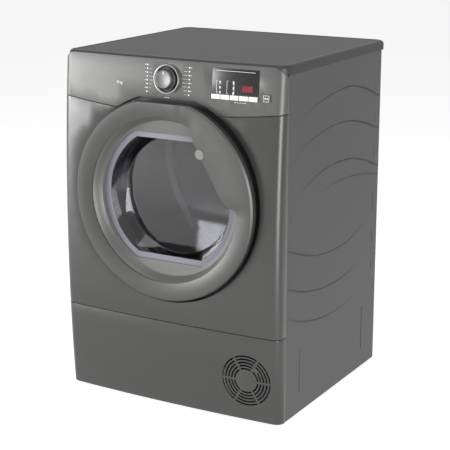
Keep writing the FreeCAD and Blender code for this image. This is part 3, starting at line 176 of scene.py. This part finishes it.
def moulded(name, colour, roughness=0.45, grain=900.0, depth=0.15, coat=0.0, mottle=0.08):
    """Moulded plastic or rubber: a faint spark-eroded grain and slight unevenness of colour."""
    material, tree = blank_material(name)
    place = add_node(tree, "ShaderNodeTexCoord")
    grains = add_node(tree, "ShaderNodeTexNoise", {"Scale": grain, "Detail": 3.0},
                      {"Vector": place.outputs["Object"]})
    cloud = add_node(tree, "ShaderNodeTexNoise", {"Scale": 14.0, "Detail": 2.0},
                     {"Vector": place.outputs["Object"]})
    shade = add_node(tree, "ShaderNodeMath", operation="MULTIPLY_ADD",
                     inputs={1: mottle * 2, 2: 1 - mottle}, links={0: cloud.outputs["Fac"]})
    tint = add_node(tree, "ShaderNodeVectorMath", operation="SCALE", inputs={0: linear(colour)[:3]},
                    links={"Scale": shade.outputs[0]})
    bump = add_node(tree, "ShaderNodeBump", {"Strength": depth, "Distance": 0.0003},
                    {"Height": grains.outputs["Fac"]})
    skin = add_node(tree, "ShaderNodeBsdfPrincipled",
                    {"Roughness": roughness, "Coat Weight": coat, "Coat Roughness": 0.08},
                    {"Base Color": tint.outputs[0], "Normal": bump.outputs[0]})
    add_node(tree, "ShaderNodeOutputMaterial", links={"Surface": skin.outputs[0]})
    return material


def sheet_metal(name, colour, roughness=0.32, stretch=(1, 60, 1), scale=12.0, contrast=0.25):
    """Rolled or brushed metal: noise drawn out along one direction varies colour and roughness."""
    material, tree = blank_material(name)
    place = add_node(tree, "ShaderNodeTexCoord")
    drawn = add_node(tree, "ShaderNodeMapping", {"Scale": stretch}, {"Vector": place.outputs["Object"]})
    lines = add_node(tree, "ShaderNodeTexNoise", {"Scale": scale, "Detail": 6.0, "Roughness": 0.7},
                     {"Vector": drawn.outputs[0]})
    shade = add_node(tree, "ShaderNodeMath", operation="MULTIPLY_ADD",
                     inputs={1: contrast * 2, 2: 1 - contrast}, links={0: lines.outputs["Fac"]})
    tint = add_node(tree, "ShaderNodeVectorMath", operation="SCALE", inputs={0: linear(colour)[:3]},
                    links={"Scale": shade.outputs[0]})
    rough = add_node(tree, "ShaderNodeMath", operation="MULTIPLY_ADD", inputs={1: 0.2, 2: roughness - 0.1},
                     links={0: lines.outputs["Fac"]})
    skin = add_node(tree, "ShaderNodeBsdfPrincipled", {"Metallic": 1.0},
                    {"Base Color": tint.outputs[0], "Roughness": rough.outputs[0]})
    add_node(tree, "ShaderNodeOutputMaterial", links={"Surface": skin.outputs[0]})
    return material


graphite = metallic_paint("graphite_stoving_paint", "#383837", roughness=0.30, metallic=0.2, coat=0.0)
# the fascia wears the same graphite paint as the front panel; this lighter copy is painted light for the brighter
# fascia and start cap
fascia_paint_painted_lighter = metallic_paint("graphite_lacquer_painted_lighter", "#4c4c4b", roughness=0.40, metallic=0.25, coat=0.0)
dark_abs = moulded("black_moulded_polypropylene", "#1b1b1b", roughness=0.5)
zinc = sheet_metal("galvanised_steel", "#a9abad", roughness=0.42, stretch=(1, 1, 8), scale=30)
bright_steel = sheet_metal("zinc_plated_steel", "#b9b9b9", roughness=0.25, stretch=(1, 1, 1), scale=80, contrast=0.08)

# ---------------------------------------------------------------- carcass
# Everything that holds the machine together: a moulded base on four rubber-soled feet,
# zinc-coated rear sheet, rails and bulkhead, and the moulded front bulkhead with its door pan.
for name, material in {
        "base_tray": dark_abs, "front_bulkhead": dark_abs, "cooling_fan_housing": dark_abs,
        "condensate_pump": dark_abs, "mains_inlet": dark_abs, "door_catch": dark_abs,
        "rear_panel": zinc, "top_rails": zinc, "rear_bulkhead": zinc, "process_duct": zinc,
        "motor_bracket": zinc, "idler_arm": zinc, "panel_screws": bright_steel,
        "hinge_bracket": bright_steel, "hinge_pin": bright_steel, "hinge_leaf": bright_steel,
        "drum_shaft": bright_steel, "motor_shaft": bright_steel, "latch_hook": dark_abs}.items():
    dressed(cad[name], material)

rubber = moulded("black_nitrile_rubber", "#151515", roughness=0.75, grain=500, depth=0.3)
for name in ("levelling_feet", "drive_belt", "condensate_hose", "support_roller_left", "support_roller_right"):
    dressed(cad[name], rubber)
felt = moulded("grey_wool_felt", "#5a5752", roughness=0.95, grain=260, depth=1.0, mottle=0.2)
for name in ("front_felt_seal", "rear_felt_seal"):
    dressed(cad[name], felt)
dressed(cad["rear_bearing"], sheet_metal("sintered_bronze", "#8a6a3a", roughness=0.4, stretch=(1, 1, 1), scale=200))
dressed(cad["heater_element"], sheet_metal("incoloy_sheath", "#6a625a", roughness=0.45, stretch=(1, 1, 1), scale=90))
dressed(cad["motor_body"], metallic_paint("grey_motor_enamel", "#4a4c4e", roughness=0.5, metallic=0.1))
dressed(cad["control_board"], moulded("ivory_nylon_housing", "#c9c6b8", roughness=0.6))
nylon = moulded("black_glass_filled_nylon", "#242424", roughness=0.55, mottle=0.12)
for name in ("cooling_fan", "process_fan", "idler_pulley"):
    dressed(cad[name], nylon)


# ---------------------------------------------------------------- front skin
# One bowed front in three parts: lacquered fascia, painted steel front panel and kickplate.
# Their edges are turned over a small radius, which catches a thin line of light at each seam.
def refined(node, piece_name, material, body, rim=0.0006, sharp=28, flatness=0.4):
    """Stand a merged, smooth-shaded copy with softened edges in for a CAD node."""
    shape = bmesh.new()
    shape.from_mesh(cad[node].data)
    bmesh.ops.remove_doubles(shape, verts=shape.verts, dist=2e-6)
    bmesh.ops.dissolve_limit(shape, angle_limit=math.radians(flatness), verts=shape.verts, edges=shape.edges,
                             delimit=set())
    if rim:
        edges = [e for e in shape.edges
                 if len(e.link_faces) == 2 and e.calc_face_angle(0) > math.radians(sharp)]
        bmesh.ops.bevel(shape, geom=edges, offset=rim, segments=2, profile=0.5, affect="EDGES",
                        clamp_overlap=True, material=-1)
    bmesh.ops.triangulate(shape, faces=[f for f in shape.faces if len(f.verts) > 4])
    return finished(shape, piece_name, material, body, sharp, node)


def finished(shape, piece_name, material, body, sharp=28, *replaced):
    """Turn a bmesh into a piece: smooth-shaded up to the sharp angle, painted and riding on its body."""
    mesh = bpy.data.meshes.new(piece_name)
    for face in shape.faces:
        face.smooth = True
    shape.to_mesh(mesh)
    shape.free()
    mesh.set_sharp_from_angle(angle=math.radians(sharp))
    mesh.materials.append(material)
    piece = bpy.data.objects.new(piece_name, mesh)
    scene.collection.objects.link(piece)
    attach(piece, body)
    if replaced:
        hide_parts(*replaced)
    return piece


# the fascia takes the lighter copy of the graphite paint, painted light
for node, material, slot in (("front_panel", graphite, "graphite_paint"),
                             ("control_fascia", fascia_paint_painted_lighter, "silver_fascia")):
    refined(node, node + "_finished", material, "cabinet")
refined("kickplate", "kickplate_finished", graphite, "kick")

# ---------------------------------------------------------------- worktop
# A laminated chipboard top, mid grey with a fine fleck, let into a dark moulded frame.
laminate = moulded("grey_melamine_laminate", "#303031", roughness=0.6, grain=700, depth=0.1, mottle=0.05)
dressed(cad["worktop_board"], laminate)
frame_plastic = moulded("charcoal_moulded_frame", "#1c1c1b", roughness=0.5)
refined("worktop_trim", "worktop_frame", frame_plastic, "cabinet", rim=0)


# ---------------------------------------------------------------- side panels
# Folded steel sides, pressed with wide arched waves: each crease is the foot of a shallow
# shelf that dies away upwards. Short upright beads stiffen the sheet near its front and rear folds.
SIDE_X, SIDE_FRONT, SIDE_REAR, SIDE_LOW, SIDE_TOP = 0.298, -0.2384, 0.269, 0.010, 0.828
PRESS_DEPTH = 0.0010
SHELF_FADE = 0.035
CREASE_HALF = 0.0016
# each crease: its height along the panel at seven even steps from front to rear, and its depth there
CREASES = (
    ((0.690, 0.727, 0.748, 0.760, 0.760, 0.741, 0.713), (0.0, 0.3, 0.7, 1.0, 1.0, 0.9, 0.6)),
    ((0.618, 0.655, 0.674, 0.681, 0.675, 0.655, 0.630), (0.1, 0.5, 0.9, 1.0, 1.0, 0.9, 0.6)),
    ((0.520, 0.556, 0.579, 0.586, 0.581, 0.561, 0.533), (0.1, 0.5, 0.9, 1.0, 1.0, 0.9, 0.6)),
    ((0.470, 0.505, 0.528, 0.537, 0.536, 0.526, 0.512), (0.0, 0.0, 0.2, 0.4, 0.5, 0.5, 0.4)),
    ((0.426, 0.398, 0.378, 0.371, 0.375, 0.398, 0.430), (0.5, 0.9, 1.0, 1.0, 0.8, 0.3, 0.0)),
    ((0.334, 0.309, 0.292, 0.286, 0.291, 0.310, 0.340), (0.5, 0.9, 1.0, 0.9, 0.5, 0.1, 0.0)),
    ((0.262, 0.235, 0.217, 0.210, 0.214, 0.232, 0.260), (0.3, 0.7, 0.7, 0.5, 0.2, 0.0, 0.0)),
)


def along(values, share):
    """A smooth value at a share of the way through evenly spaced ones."""
    spot = min(max(share, 0), 1) * (len(values) - 1)
    index = min(int(spot), len(values) - 2)
    part = spot - index
    part_smooth = part * part * (3 - 2 * part)
    before = values[max(index - 1, 0)]
    low, high = values[index], values[index + 1]
    after = values[min(index + 2, len(values) - 1)]
    slope_low, slope_high = (high - before) / 2, (after - low) / 2
    bend = part * (1 - part)
    return low + (high - low) * part_smooth + bend * ((1 - part) * slope_low - part * slope_high)


def pressed(y, z):
    """How far the pressing stands out of the panel's hollows at a place."""
    share = (y - SIDE_FRONT) / (SIDE_REAR - SIDE_FRONT)
    edge = min(y - SIDE_FRONT, SIDE_REAR - y, z - SIDE_LOW, SIDE_TOP - z)
    height = 0.0
    for heights, depths in CREASES:
        above = z - along(heights, share)
        if above < -CREASE_HALF:
            continue
        rise = min((above + CREASE_HALF) / (2 * CREASE_HALF), 1)
        rise = rise * rise * (3 - 2 * rise)
        height += along(depths, share) * rise * math.exp(-max(above, 0) / SHELF_FADE)
    return PRESS_DEPTH * min(height, 1) * min(max((edge - 0.006) / 0.02, 0), 1)


def crease_shade(y, z):
    """How much painted shade lies along the fold line of a crease at a place, from 0 on the open sheet to 1."""
    share = (y - SIDE_FRONT) / (SIDE_REAR - SIDE_FRONT)
    return max(along(depths, share) * math.exp(-((z - along(heights, share)) / CREASE_HALF) ** 2)
               for heights, depths in CREASES)


# along the fold line of each crease the roughness rises and painted shade darkens the base colour
# a darker copy of the graphite paint: painted shade for the sides, which face away from the lamps
side_paint_painted_darker = metallic_paint("graphite_paint_painted_darker_on_sides", "#30302f", roughness=0.36, metallic=0.1, coat=0.0)
tree = side_paint_painted_darker.node_tree
skin = next(n for n in tree.nodes if n.type == "BSDF_PRINCIPLED")
fold = add_node(tree, "ShaderNodeAttribute", attribute_name="crease")
dull = add_node(tree, "ShaderNodeMath", operation="MULTIPLY_ADD", inputs={1: 0.6, 2: 0.36},
                links={0: fold.outputs["Fac"]})
painted_shade_factor = add_node(tree, "ShaderNodeMath", operation="MULTIPLY_ADD", inputs={1: -0.9, 2: 1.0},
                links={0: fold.outputs["Fac"]})
plain = skin.inputs["Base Color"].links[0].from_socket
painted_crease_shade = add_node(tree, "ShaderNodeVectorMath", operation="SCALE", links={0: plain, "Scale": painted_shade_factor.outputs[0]})
tree.links.new(dull.outputs[0], skin.inputs["Roughness"])
tree.links.new(painted_crease_shade.outputs[0], skin.inputs["Base Color"])
BEADS = [(0.2392, low, high) for low, high in
         ((0.720, 0.742), (0.640, 0.671), (0.542, 0.585), (0.421, 0.464), (0.335, 0.367), (0.261, 0.286))]
BEADS += [(-0.217, 0.490, 0.510), (-0.1645, 0.060, 0.177), (0.189, 0.060, 0.175)]
BEAD_HALF = 0.0022
for side, sign in (("left", -1), ("right", 1)):
    shape = bmesh.new()
    bmesh.ops.create_grid(shape, x_segments=110, y_segments=410, size=0.5)
    for vert in shape.verts:
        y = SIDE_FRONT + (vert.co.x + 0.5) * (SIDE_REAR - SIDE_FRONT)
        z = SIDE_LOW + (vert.co.y + 0.5) * (SIDE_TOP - SIDE_LOW)
        vert.co = (SIDE_X - PRESS_DEPTH + pressed(y, z), y, z)
    rim = [e for e in shape.edges if e.is_boundary]
    fold = bmesh.ops.extrude_edge_only(shape, edges=rim)["geom"]
    for vert in [g for g in fold if isinstance(g, bmesh.types.BMVert)]:
        vert.co.x -= 0.010
    for y, low, high in BEADS:
        bead = bmesh.ops.create_cone(shape, cap_ends=True, segments=12, radius1=BEAD_HALF, radius2=BEAD_HALF,
                                     depth=high - low)["verts"]
        ends = [e for e in {e for v in bead for e in v.link_edges}
                if abs(e.verts[0].co.z - e.verts[1].co.z) < 1e-6]
        bmesh.ops.bevel(shape, geom=ends, offset=BEAD_HALF * 0.9, segments=3, profile=0.5, affect="EDGES",
                        material=-1)
        fresh = [v for v in shape.verts if abs(v.co.x) < 0.01]
        bmesh.ops.translate(shape, verts=fresh, vec=(SIDE_X - BEAD_HALF, y, (low + high) / 2))
    if sign < 0:
        bmesh.ops.scale(shape, vec=(-1, 1, 1), verts=shape.verts)
    bmesh.ops.recalc_face_normals(shape, faces=shape.faces)
    node = side + "_side_panel"
    panel = finished(shape, node + "_pressed", side_paint_painted_darker, "cabinet", 40, node)
    # the crease attribute marks where painted shade darkens the paint along each fold line
    shade = panel.data.attributes.new("crease", "FLOAT", "POINT")
    for vert, value in zip(panel.data.vertices, shade.data):
        value.value = crease_shade(vert.co.y, vert.co.z) if abs(vert.co.x) < SIDE_X - 0.00005 else 0.0


# ---------------------------------------------------------------- places on the bowed front
# The front is bowed in plan and in profile; printed marks and controls lie on that skin.
PLAN_BOW, PROFILE_BOW, CROWN_Z, CROWN_OUT, FRONT_SHIFT = 4.800, 4.889, 0.380, 0.022, -0.263


def skin_place(x, z, lift=0.0):
    """The frame of a small flat mark on the fascia: x to the right, y up the skin, z out of it."""
    lean = math.asin((z - CROWN_Z) / PROFILE_BOW)
    turn = math.asin(x / PLAN_BOW)
    y = (PROFILE_BOW - CROWN_OUT - math.sqrt(PROFILE_BOW ** 2 - (z - CROWN_Z) ** 2)
         + PLAN_BOW - math.sqrt(PLAN_BOW ** 2 - x ** 2) + FRONT_SHIFT)
    return (Matrix.Translation((x, y, z)) @ Matrix.Rotation(turn, 4, "Z")
            @ Matrix.Rotation(math.pi / 2 - lean, 4, "X") @ Matrix.Translation((0, 0, lift)))


def add_bar(shape, place, x, y, width, height, thick=0.00012):
    """A thin flat bar of ink or plastic centred at x, y on a place."""
    bmesh.ops.create_cube(shape, size=1, matrix=place @ Matrix.Translation((x, y, 0))
                          @ Matrix.Diagonal((width, height, thick, 1)))


def add_disc(shape, place, x, y, radius, thick=0.00012, sides=24):
    bmesh.ops.create_cone(shape, cap_ends=True, segments=sides, radius1=radius, radius2=radius, depth=thick,
                          matrix=place @ Matrix.Translation((x, y, 0)))


def add_arrow(shape, place, x, y, size, thick=0.00012):
    """A triangle that points to the right."""
    bmesh.ops.create_cone(shape, cap_ends=True, segments=3, radius1=size, radius2=size, depth=thick,
                          matrix=place @ Matrix.Translation((x, y, 0)) @ Matrix.Rotation(-math.pi / 2, 4, "Z"))


def lettering(text, name, place, height, material, body="cabinet"):
    """Raised ink letters, centred on a place."""
    curve = bpy.data.curves.new(name, "FONT")
    curve.body, curve.size, curve.extrude = text, height * 1.4, 0.00006
    curve.align_x, curve.align_y = "CENTER", "CENTER"
    source = bpy.data.objects.new(name + "_curve", curve)
    mesh = bpy.data.meshes.new_from_object(source)
    bpy.data.objects.remove(source)
    mesh.transform(place)
    mesh.materials.clear()
    mesh.materials.append(material)
    piece = bpy.data.objects.new(name, mesh)
    scene.collection.objects.link(piece)
    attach(piece, body)
    return piece


# ---------------------------------------------------------------- printed scale
# Screen-printed white ink: leader lines and dots round the programme knob, and the load.
ink = moulded("white_screen_ink", "#e4e4e2", roughness=0.6, depth=0.05)
KNOB_Z = 0.802
shape = bmesh.new()
for step in range(8):
    z = 0.770 + step * 0.0088
    reach = 0.0375 + 0.010 * abs(step - 3.5) / 3.5
    for sign, outer in ((-1, 0.0485), (1, 0.0515)):
        middle = sign * (reach + outer) / 2
        place = skin_place(middle, z, 0.00008)
        add_bar(shape, place, 0, 0, outer - reach, 0.0006)
        add_disc(shape, skin_place(sign * (outer + 0.0065), z, 0.00008), 0, 0, 0.0017)
        if step % 2:
            add_bar(shape, skin_place(sign * (outer + 0.0115), z, 0.00008), 0, 0, 0.0035, 0.0009)
for offset in (-0.0045, 0, 0.0045):
    add_bar(shape, skin_place(offset, 0.760, 0.00008), 0, 0, 0.003, 0.0012)
for step in range(5):
    add_bar(shape, skin_place(0.178 + step * 0.006, 0.7628, 0.00008), 0, 0, 0.0035, 0.0010)
finished(shape, "programme_scale", ink, "cabinet")
lettering("8 kg", "load_mark", skin_place(-0.132, 0.785, 0.00008), 0.0065, ink)

# ---------------------------------------------------------------- programme knob
# A lathe-turned look: satin chrome surround, a dark gap, and a knob with a dished face,
# a knurled dark band round its side and a pointer.
chrome = sheet_metal("satin_chrome_plating", "#d6d6d6", roughness=0.22, stretch=(1, 1, 1), scale=150, contrast=0.05)
knob_face = sheet_metal("turned_aluminium_lacquered", "#6a6a6a", roughness=0.5, stretch=(1, 1, 1), scale=90,
                        contrast=0.15)
KNOB_PLACE = skin_place(0, KNOB_Z)


def lathe(shape, corners, steps=96, place=None):
    """Spin (distance out, radius) corners about the z axis of a place into a closed skin."""
    ring = [shape.verts.new((radius, 0, out)) for out, radius in corners]
    edges = [shape.edges.new(pair) for pair in zip(ring, ring[1:])]
    spun = bmesh.ops.spin(shape, geom=ring + edges, cent=(0, 0, 0), axis=(0, 0, 1), angle=2 * math.pi,
                          steps=steps, use_merge=True, use_duplicate=False)
    fresh = [v for v in shape.verts if v.is_valid and v.index == -1 or v in ring]
    return spun, fresh


def lathed(name, corners, material, body, place, steps=96, sharp=30, replaces=()):
    shape = bmesh.new()
    lathe(shape, corners, steps)
    bmesh.ops.remove_doubles(shape, verts=shape.verts, dist=1e-6)
    bmesh.ops.recalc_face_normals(shape, faces=shape.faces)
    bmesh.ops.transform(shape, matrix=place, verts=shape.verts)
    return finished(shape, name, material, body, sharp, *replaces)


lathed("knob_surround", [(-0.0005, 0.0290), (0.0035, 0.0290), (0.0050, 0.0296), (0.0066, 0.0312), (0.0070, 0.0322),
                         (0.0066, 0.0332), (0.0040, 0.0338), (-0.0005, 0.0340), (-0.0005, 0.0290)],
       chrome, "cabinet", KNOB_PLACE, replaces=("knob_bezel",))
lathed("knob_well", [(0.0002, 0.0), (0.0002, 0.0291), (0.0006, 0.0291), (0.0006, 0.0)], dark_abs, "cabinet", KNOB_PLACE)
knob = lathed("programme_knob_turned", [
    (0.0009, 0.0), (0.0009, 0.0236), (0.0022, 0.0246), (0.0060, 0.0249), (0.0075, 0.0243), (0.0080, 0.0232),
    (0.0175, 0.0216), (0.0192, 0.0206), (0.0199, 0.0192), (0.0196, 0.0180), (0.0186, 0.0160), (0.0182, 0.0)],
    knob_face, "knob", KNOB_PLACE, replaces=("programme_knob",))
shape = bmesh.new()
for step in range(48):
    turn = Matrix.Rotation(step * math.pi / 24, 4, "Z")
    bmesh.ops.create_cube(shape, size=1, matrix=KNOB_PLACE @ turn @ Matrix.Translation((0.0226, 0, 0.0125))
                          @ Matrix.Rotation(-0.16, 4, "Y") @ Matrix.Diagonal((0.0012, 0.0011, 0.0078, 1)))
finished(shape, "knob_grip_ribs", dark_abs, "knob")
shape = bmesh.new()
add_bar(shape, KNOB_PLACE @ Matrix.Translation((0, 0, 0.0192)), 0, 0.0145, 0.0014, 0.0075, 0.0014)
finished(shape, "knob_pointer", ink, "knob")

# ---------------------------------------------------------------- display and buttons
# A black acrylic window over a lit display, five pale push caps below it and a start cap.
acrylic = moulded("black_acrylic", "#0b0b0c", roughness=0.3, depth=0.0, coat=0.0, mottle=0.02)
refined("display_window", "display_window_polished", acrylic, "cabinet", rim=0.0003)


def glowing(name, colour, strength):
    material, tree = blank_material(name)
    light = add_node(tree, "ShaderNodeEmission", {"Color": linear(colour), "Strength": strength})
    gloss = add_node(tree, "ShaderNodeBsdfPrincipled", {"Base Color": linear(colour), "Roughness": 0.3})
    both = add_node(tree, "ShaderNodeAddShader", links={0: light.outputs[0], 1: gloss.outputs[0]})
    add_node(tree, "ShaderNodeOutputMaterial", links={"Surface": both.outputs[0]})
    return material


red_light = glowing("red_light_emitting_diode", "#9c2038", 0.55)
white_light = glowing("white_indicator", "#d8d8d8", 0.25)
GLASS_LIFT = 0.00095
SEGMENTS = {"1": "bc", "2": "abged", "0": "abcdef", "8": "abcdefg"}
SEGMENT_BARS = {"a": (0, 1, 1), "b": (0.5, 0.5, 0), "c": (0.5, -0.5, 0), "d": (0, -1, 1), "e": (-0.5, -0.5, 0),
                "f": (-0.5, 0.5, 0), "g": (0, 0, 1)}
shape = bmesh.new()
for figure, x in (("8", 0.1990), ("8", 0.2080), ("8", 0.2160)):
    place = skin_place(x, 0.7942, GLASS_LIFT)
    for segment in SEGMENTS[figure]:
        across, up, flat = SEGMENT_BARS[segment]
        add_bar(shape, place, across * 0.0054, up * 0.0056, 0.0048 if flat else 0.0013, 0.0013 if flat else 0.0048)
for up in (-0.0025, 0.0025):
    add_disc(shape, skin_place(0.2035, 0.7942 + up, GLASS_LIFT), 0, 0, 0.0007, sides=12)
finished(shape, "display_figures", red_light, "cabinet")
shape = bmesh.new()
for x in (0.1300, 0.1640):
    for z in (0.7835, 0.7945, 0.8060):
        add_disc(shape, skin_place(x + 0.0085, z, GLASS_LIFT), 0, 0, 0.0020)
        add_bar(shape, skin_place(x + 0.0085, z - 0.0040, GLASS_LIFT), 0, 0, 0.0040, 0.0007)
for x, hook in ((0.1300, 1), (0.1735, -1), (0.1560, 1)):
    add_bar(shape, skin_place(x, 0.7950, GLASS_LIFT), 0, 0, 0.0007, 0.0290)
    for z in (0.7808, 0.8092):
        add_bar(shape, skin_place(x + hook * 0.0015, z, GLASS_LIFT), 0, 0, 0.0036, 0.0007)
add_bar(shape, skin_place(0.1765, 0.8312, GLASS_LIFT), 0, 0, 0.0980, 0.0007)
finished(shape, "display_marks", white_light, "cabinet")

cap_plastic = moulded("pale_grey_abs_caps", "#e2e2e0", roughness=0.35, depth=0.05)
for number in range(1, 6):
    refined(f"option_button_{number}", f"option_cap_{number}", cap_plastic, f"option_{number}", rim=0.0007)
# the start cap takes the same lighter copy of the graphite paint, painted light
refined("start_button", "start_cap", fascia_paint_painted_lighter, "start", rim=0.0007)
shape = bmesh.new()
place = skin_place(0.255, 0.777, 0.0033)
for x, y, width, height in ((0, 0.0068, 0.0130, 0.0007), (0, -0.0068, 0.0130, 0.0007),
                            (0.0068, 0, 0.0007, 0.0130), (-0.0068, 0, 0.0007, 0.0130)):
    add_bar(shape, place, x, y, width, height)
add_arrow(shape, place, -0.0022, 0, 0.0026)
for x in (0.0020, 0.0042):
    add_bar(shape, place, x, 0, 0.0011, 0.0044)
finished(shape, "start_mark", ink, "start")


# ---------------------------------------------------------------- door
# A dished ring and its grip crescent, moulded in one and lacquered; inside it a cone and a
# disc with a level-cut window, a clear polycarbonate bowl, and a black rear cover with its seal.
door_lacquer = metallic_paint("graphite_door_lacquer", "#444443", roughness=0.40, metallic=0.5, coat=0.0)
inner_lacquer = metallic_paint("pale_graphite_lacquer", "#5a5a58", roughness=0.42, metallic=0.3, coat=0.0)
refined("door_outer_frame", "door_ring_and_grip", door_lacquer, "door", rim=0.0009)
refined("door_inner_frame", "door_cone_and_disc", inner_lacquer, "door", rim=0.0008)
dressed(cad["door_back_cover"], dark_abs)
seal_rubber = moulded("grey_silicone_rubber", "#3a3a3a", roughness=0.7, grain=300)
refined("door_seal", "door_seal_lip", seal_rubber, "door", rim=0.0008)

bowl_clear, tree = blank_material("smoked_polycarbonate")
clear = add_node(tree, "ShaderNodeBsdfPrincipled", {
    "Base Color": linear("#a8a8b0"), "Roughness": 0.05, "IOR": 1.5, "Transmission Weight": 1.0})
add_node(tree, "ShaderNodeOutputMaterial", links={"Surface": clear.outputs[0]})
BOWL_PLACE = Matrix.Translation((0, FRONT_SHIFT, 0.521)) @ Matrix.Rotation(math.pi / 2, 4, "X")
bowl = lathed("door_bowl", [
    (0.0029, 0.182), (0.0005, 0.182), (0.0005, 0.172), (-0.0010, 0.1700), (-0.0420, 0.1500), (-0.0455, 0.1480),
    (-0.0470, 0.1440), (-0.0470, 0.0), (-0.0430, 0.0), (-0.0430, 0.1420), (-0.0400, 0.1455), (-0.0010, 0.1640),
    (0.0029, 0.1668), (0.0029, 0.182)], bowl_clear, "door", BOWL_PLACE, steps=128, replaces=("door_window",))

# a pale opaque band round the clear pane is painted light, standing for the light seen in the bowl's thick clear flange
flange_painted_light = moulded("polycarbonate_flange_painted_light", "#72707b", roughness=0.4, depth=0.1, mottle=0.15)
lathed("bowl_flange_band", [(0.0030, 0.1640), (0.0044, 0.1650), (0.0044, 0.1815), (0.0030, 0.1815),
                            (0.0030, 0.1640)], flange_painted_light, "door", BOWL_PLACE, steps=128)
shape = bmesh.new()
for height in (-0.1475, 0.1490):
    bmesh.ops.create_cube(shape, size=1, matrix=BOWL_PLACE @ Matrix.Translation((0, height, 0.0036))
                          @ Matrix.Diagonal((0.180, 0.017, 0.0014, 1)))
finished(shape, "bowl_flange_ledges", flange_painted_light, "door")

# the grip carries a plain round badge, left bare
badge_plastic = moulded("bare_badge_plastic", "#6e6e6c", roughness=0.4)
DISH_SLOPE = 5 / 39
badge_x, badge_up = 0.098, 0.119
badge_reach = math.hypot(badge_x, badge_up)
badge_y = FRONT_SHIFT - 0.038 + (0.237 - badge_reach) * DISH_SLOPE
badge_turn = Matrix.Rotation(math.atan2(badge_up, badge_x), 4, "Z") @ Matrix.Rotation(-math.atan(DISH_SLOPE), 4, "Y")
badge_place = (Matrix.Translation((badge_x, badge_y, 0.521 + badge_up)) @ Matrix.Rotation(math.pi / 2, 4, "X")
               @ badge_turn)
lathed("grip_badge", [(0.0, 0.0116), (0.0005, 0.0119), (0.0008, 0.0115), (0.0009, 0.0)], badge_plastic, "door",
       badge_place, steps=48)

# ---------------------------------------------------------------- drum
# Brushed stainless sheet, rolled round and swaged with two shallow beads, its rear wall
# punched with rings of air holes; moulded lifters.
stainless = sheet_metal("brushed_stainless_steel", "#6a6a6c", roughness=0.36, stretch=(60, 1, 60), scale=4,
                        contrast=0.35)
refined("drum_shell", "drum_shell_rolled", stainless, "drum", rim=0)
refined("drum_rear_wall", "drum_rear_wall_punched", stainless, "drum", rim=0)
# the swaged beads are the same steel sheet as the drum; this paler, glossier copy is a painted highlight along each
# bead
bead_steel_painted_highlight = sheet_metal("stainless_bead_painted_highlight", "#e4e4e8", roughness=0.22, stretch=(1, 1, 1), scale=40, contrast=0.1)
for depth in (0.262, 0.276, 0.305, 0.448, 0.457):
    lathed(f"drum_bead_{round(depth * 1000)}", [
        (-depth - 0.0018, 0.2817), (-depth - 0.0010, 0.2800), (-depth, 0.2795), (-depth + 0.0010, 0.2800),
        (-depth + 0.0018, 0.2817), (-depth - 0.0018, 0.2817)], bead_steel_painted_highlight, "drum", BOWL_PLACE, steps=96)
lifter_plastic = moulded("dark_grey_polypropylene", "#3c3c3e", roughness=0.45)
refined("drum_lifters", "drum_lifters_moulded", lifter_plastic, "drum", rim=0.003)

# ---------------------------------------------------------------- fluff filter, condenser and container
# Behind the kickplate: a plate condenser of aluminium and a natural polythene container.
refined("lint_filter", "lint_filter_moulded", moulded("pale_blue_abs", "#8fa3ab", roughness=0.5),
                "fluff_filter", rim=0.0005)
dressed(cad["condenser"], sheet_metal("rolled_aluminium", "#b8babd", roughness=0.35, stretch=(1, 8, 1), scale=40))
refined("water_container", "water_container_moulded", moulded("natural_polythene", "#b9bab6", roughness=0.5),
                "container", rim=0.002)
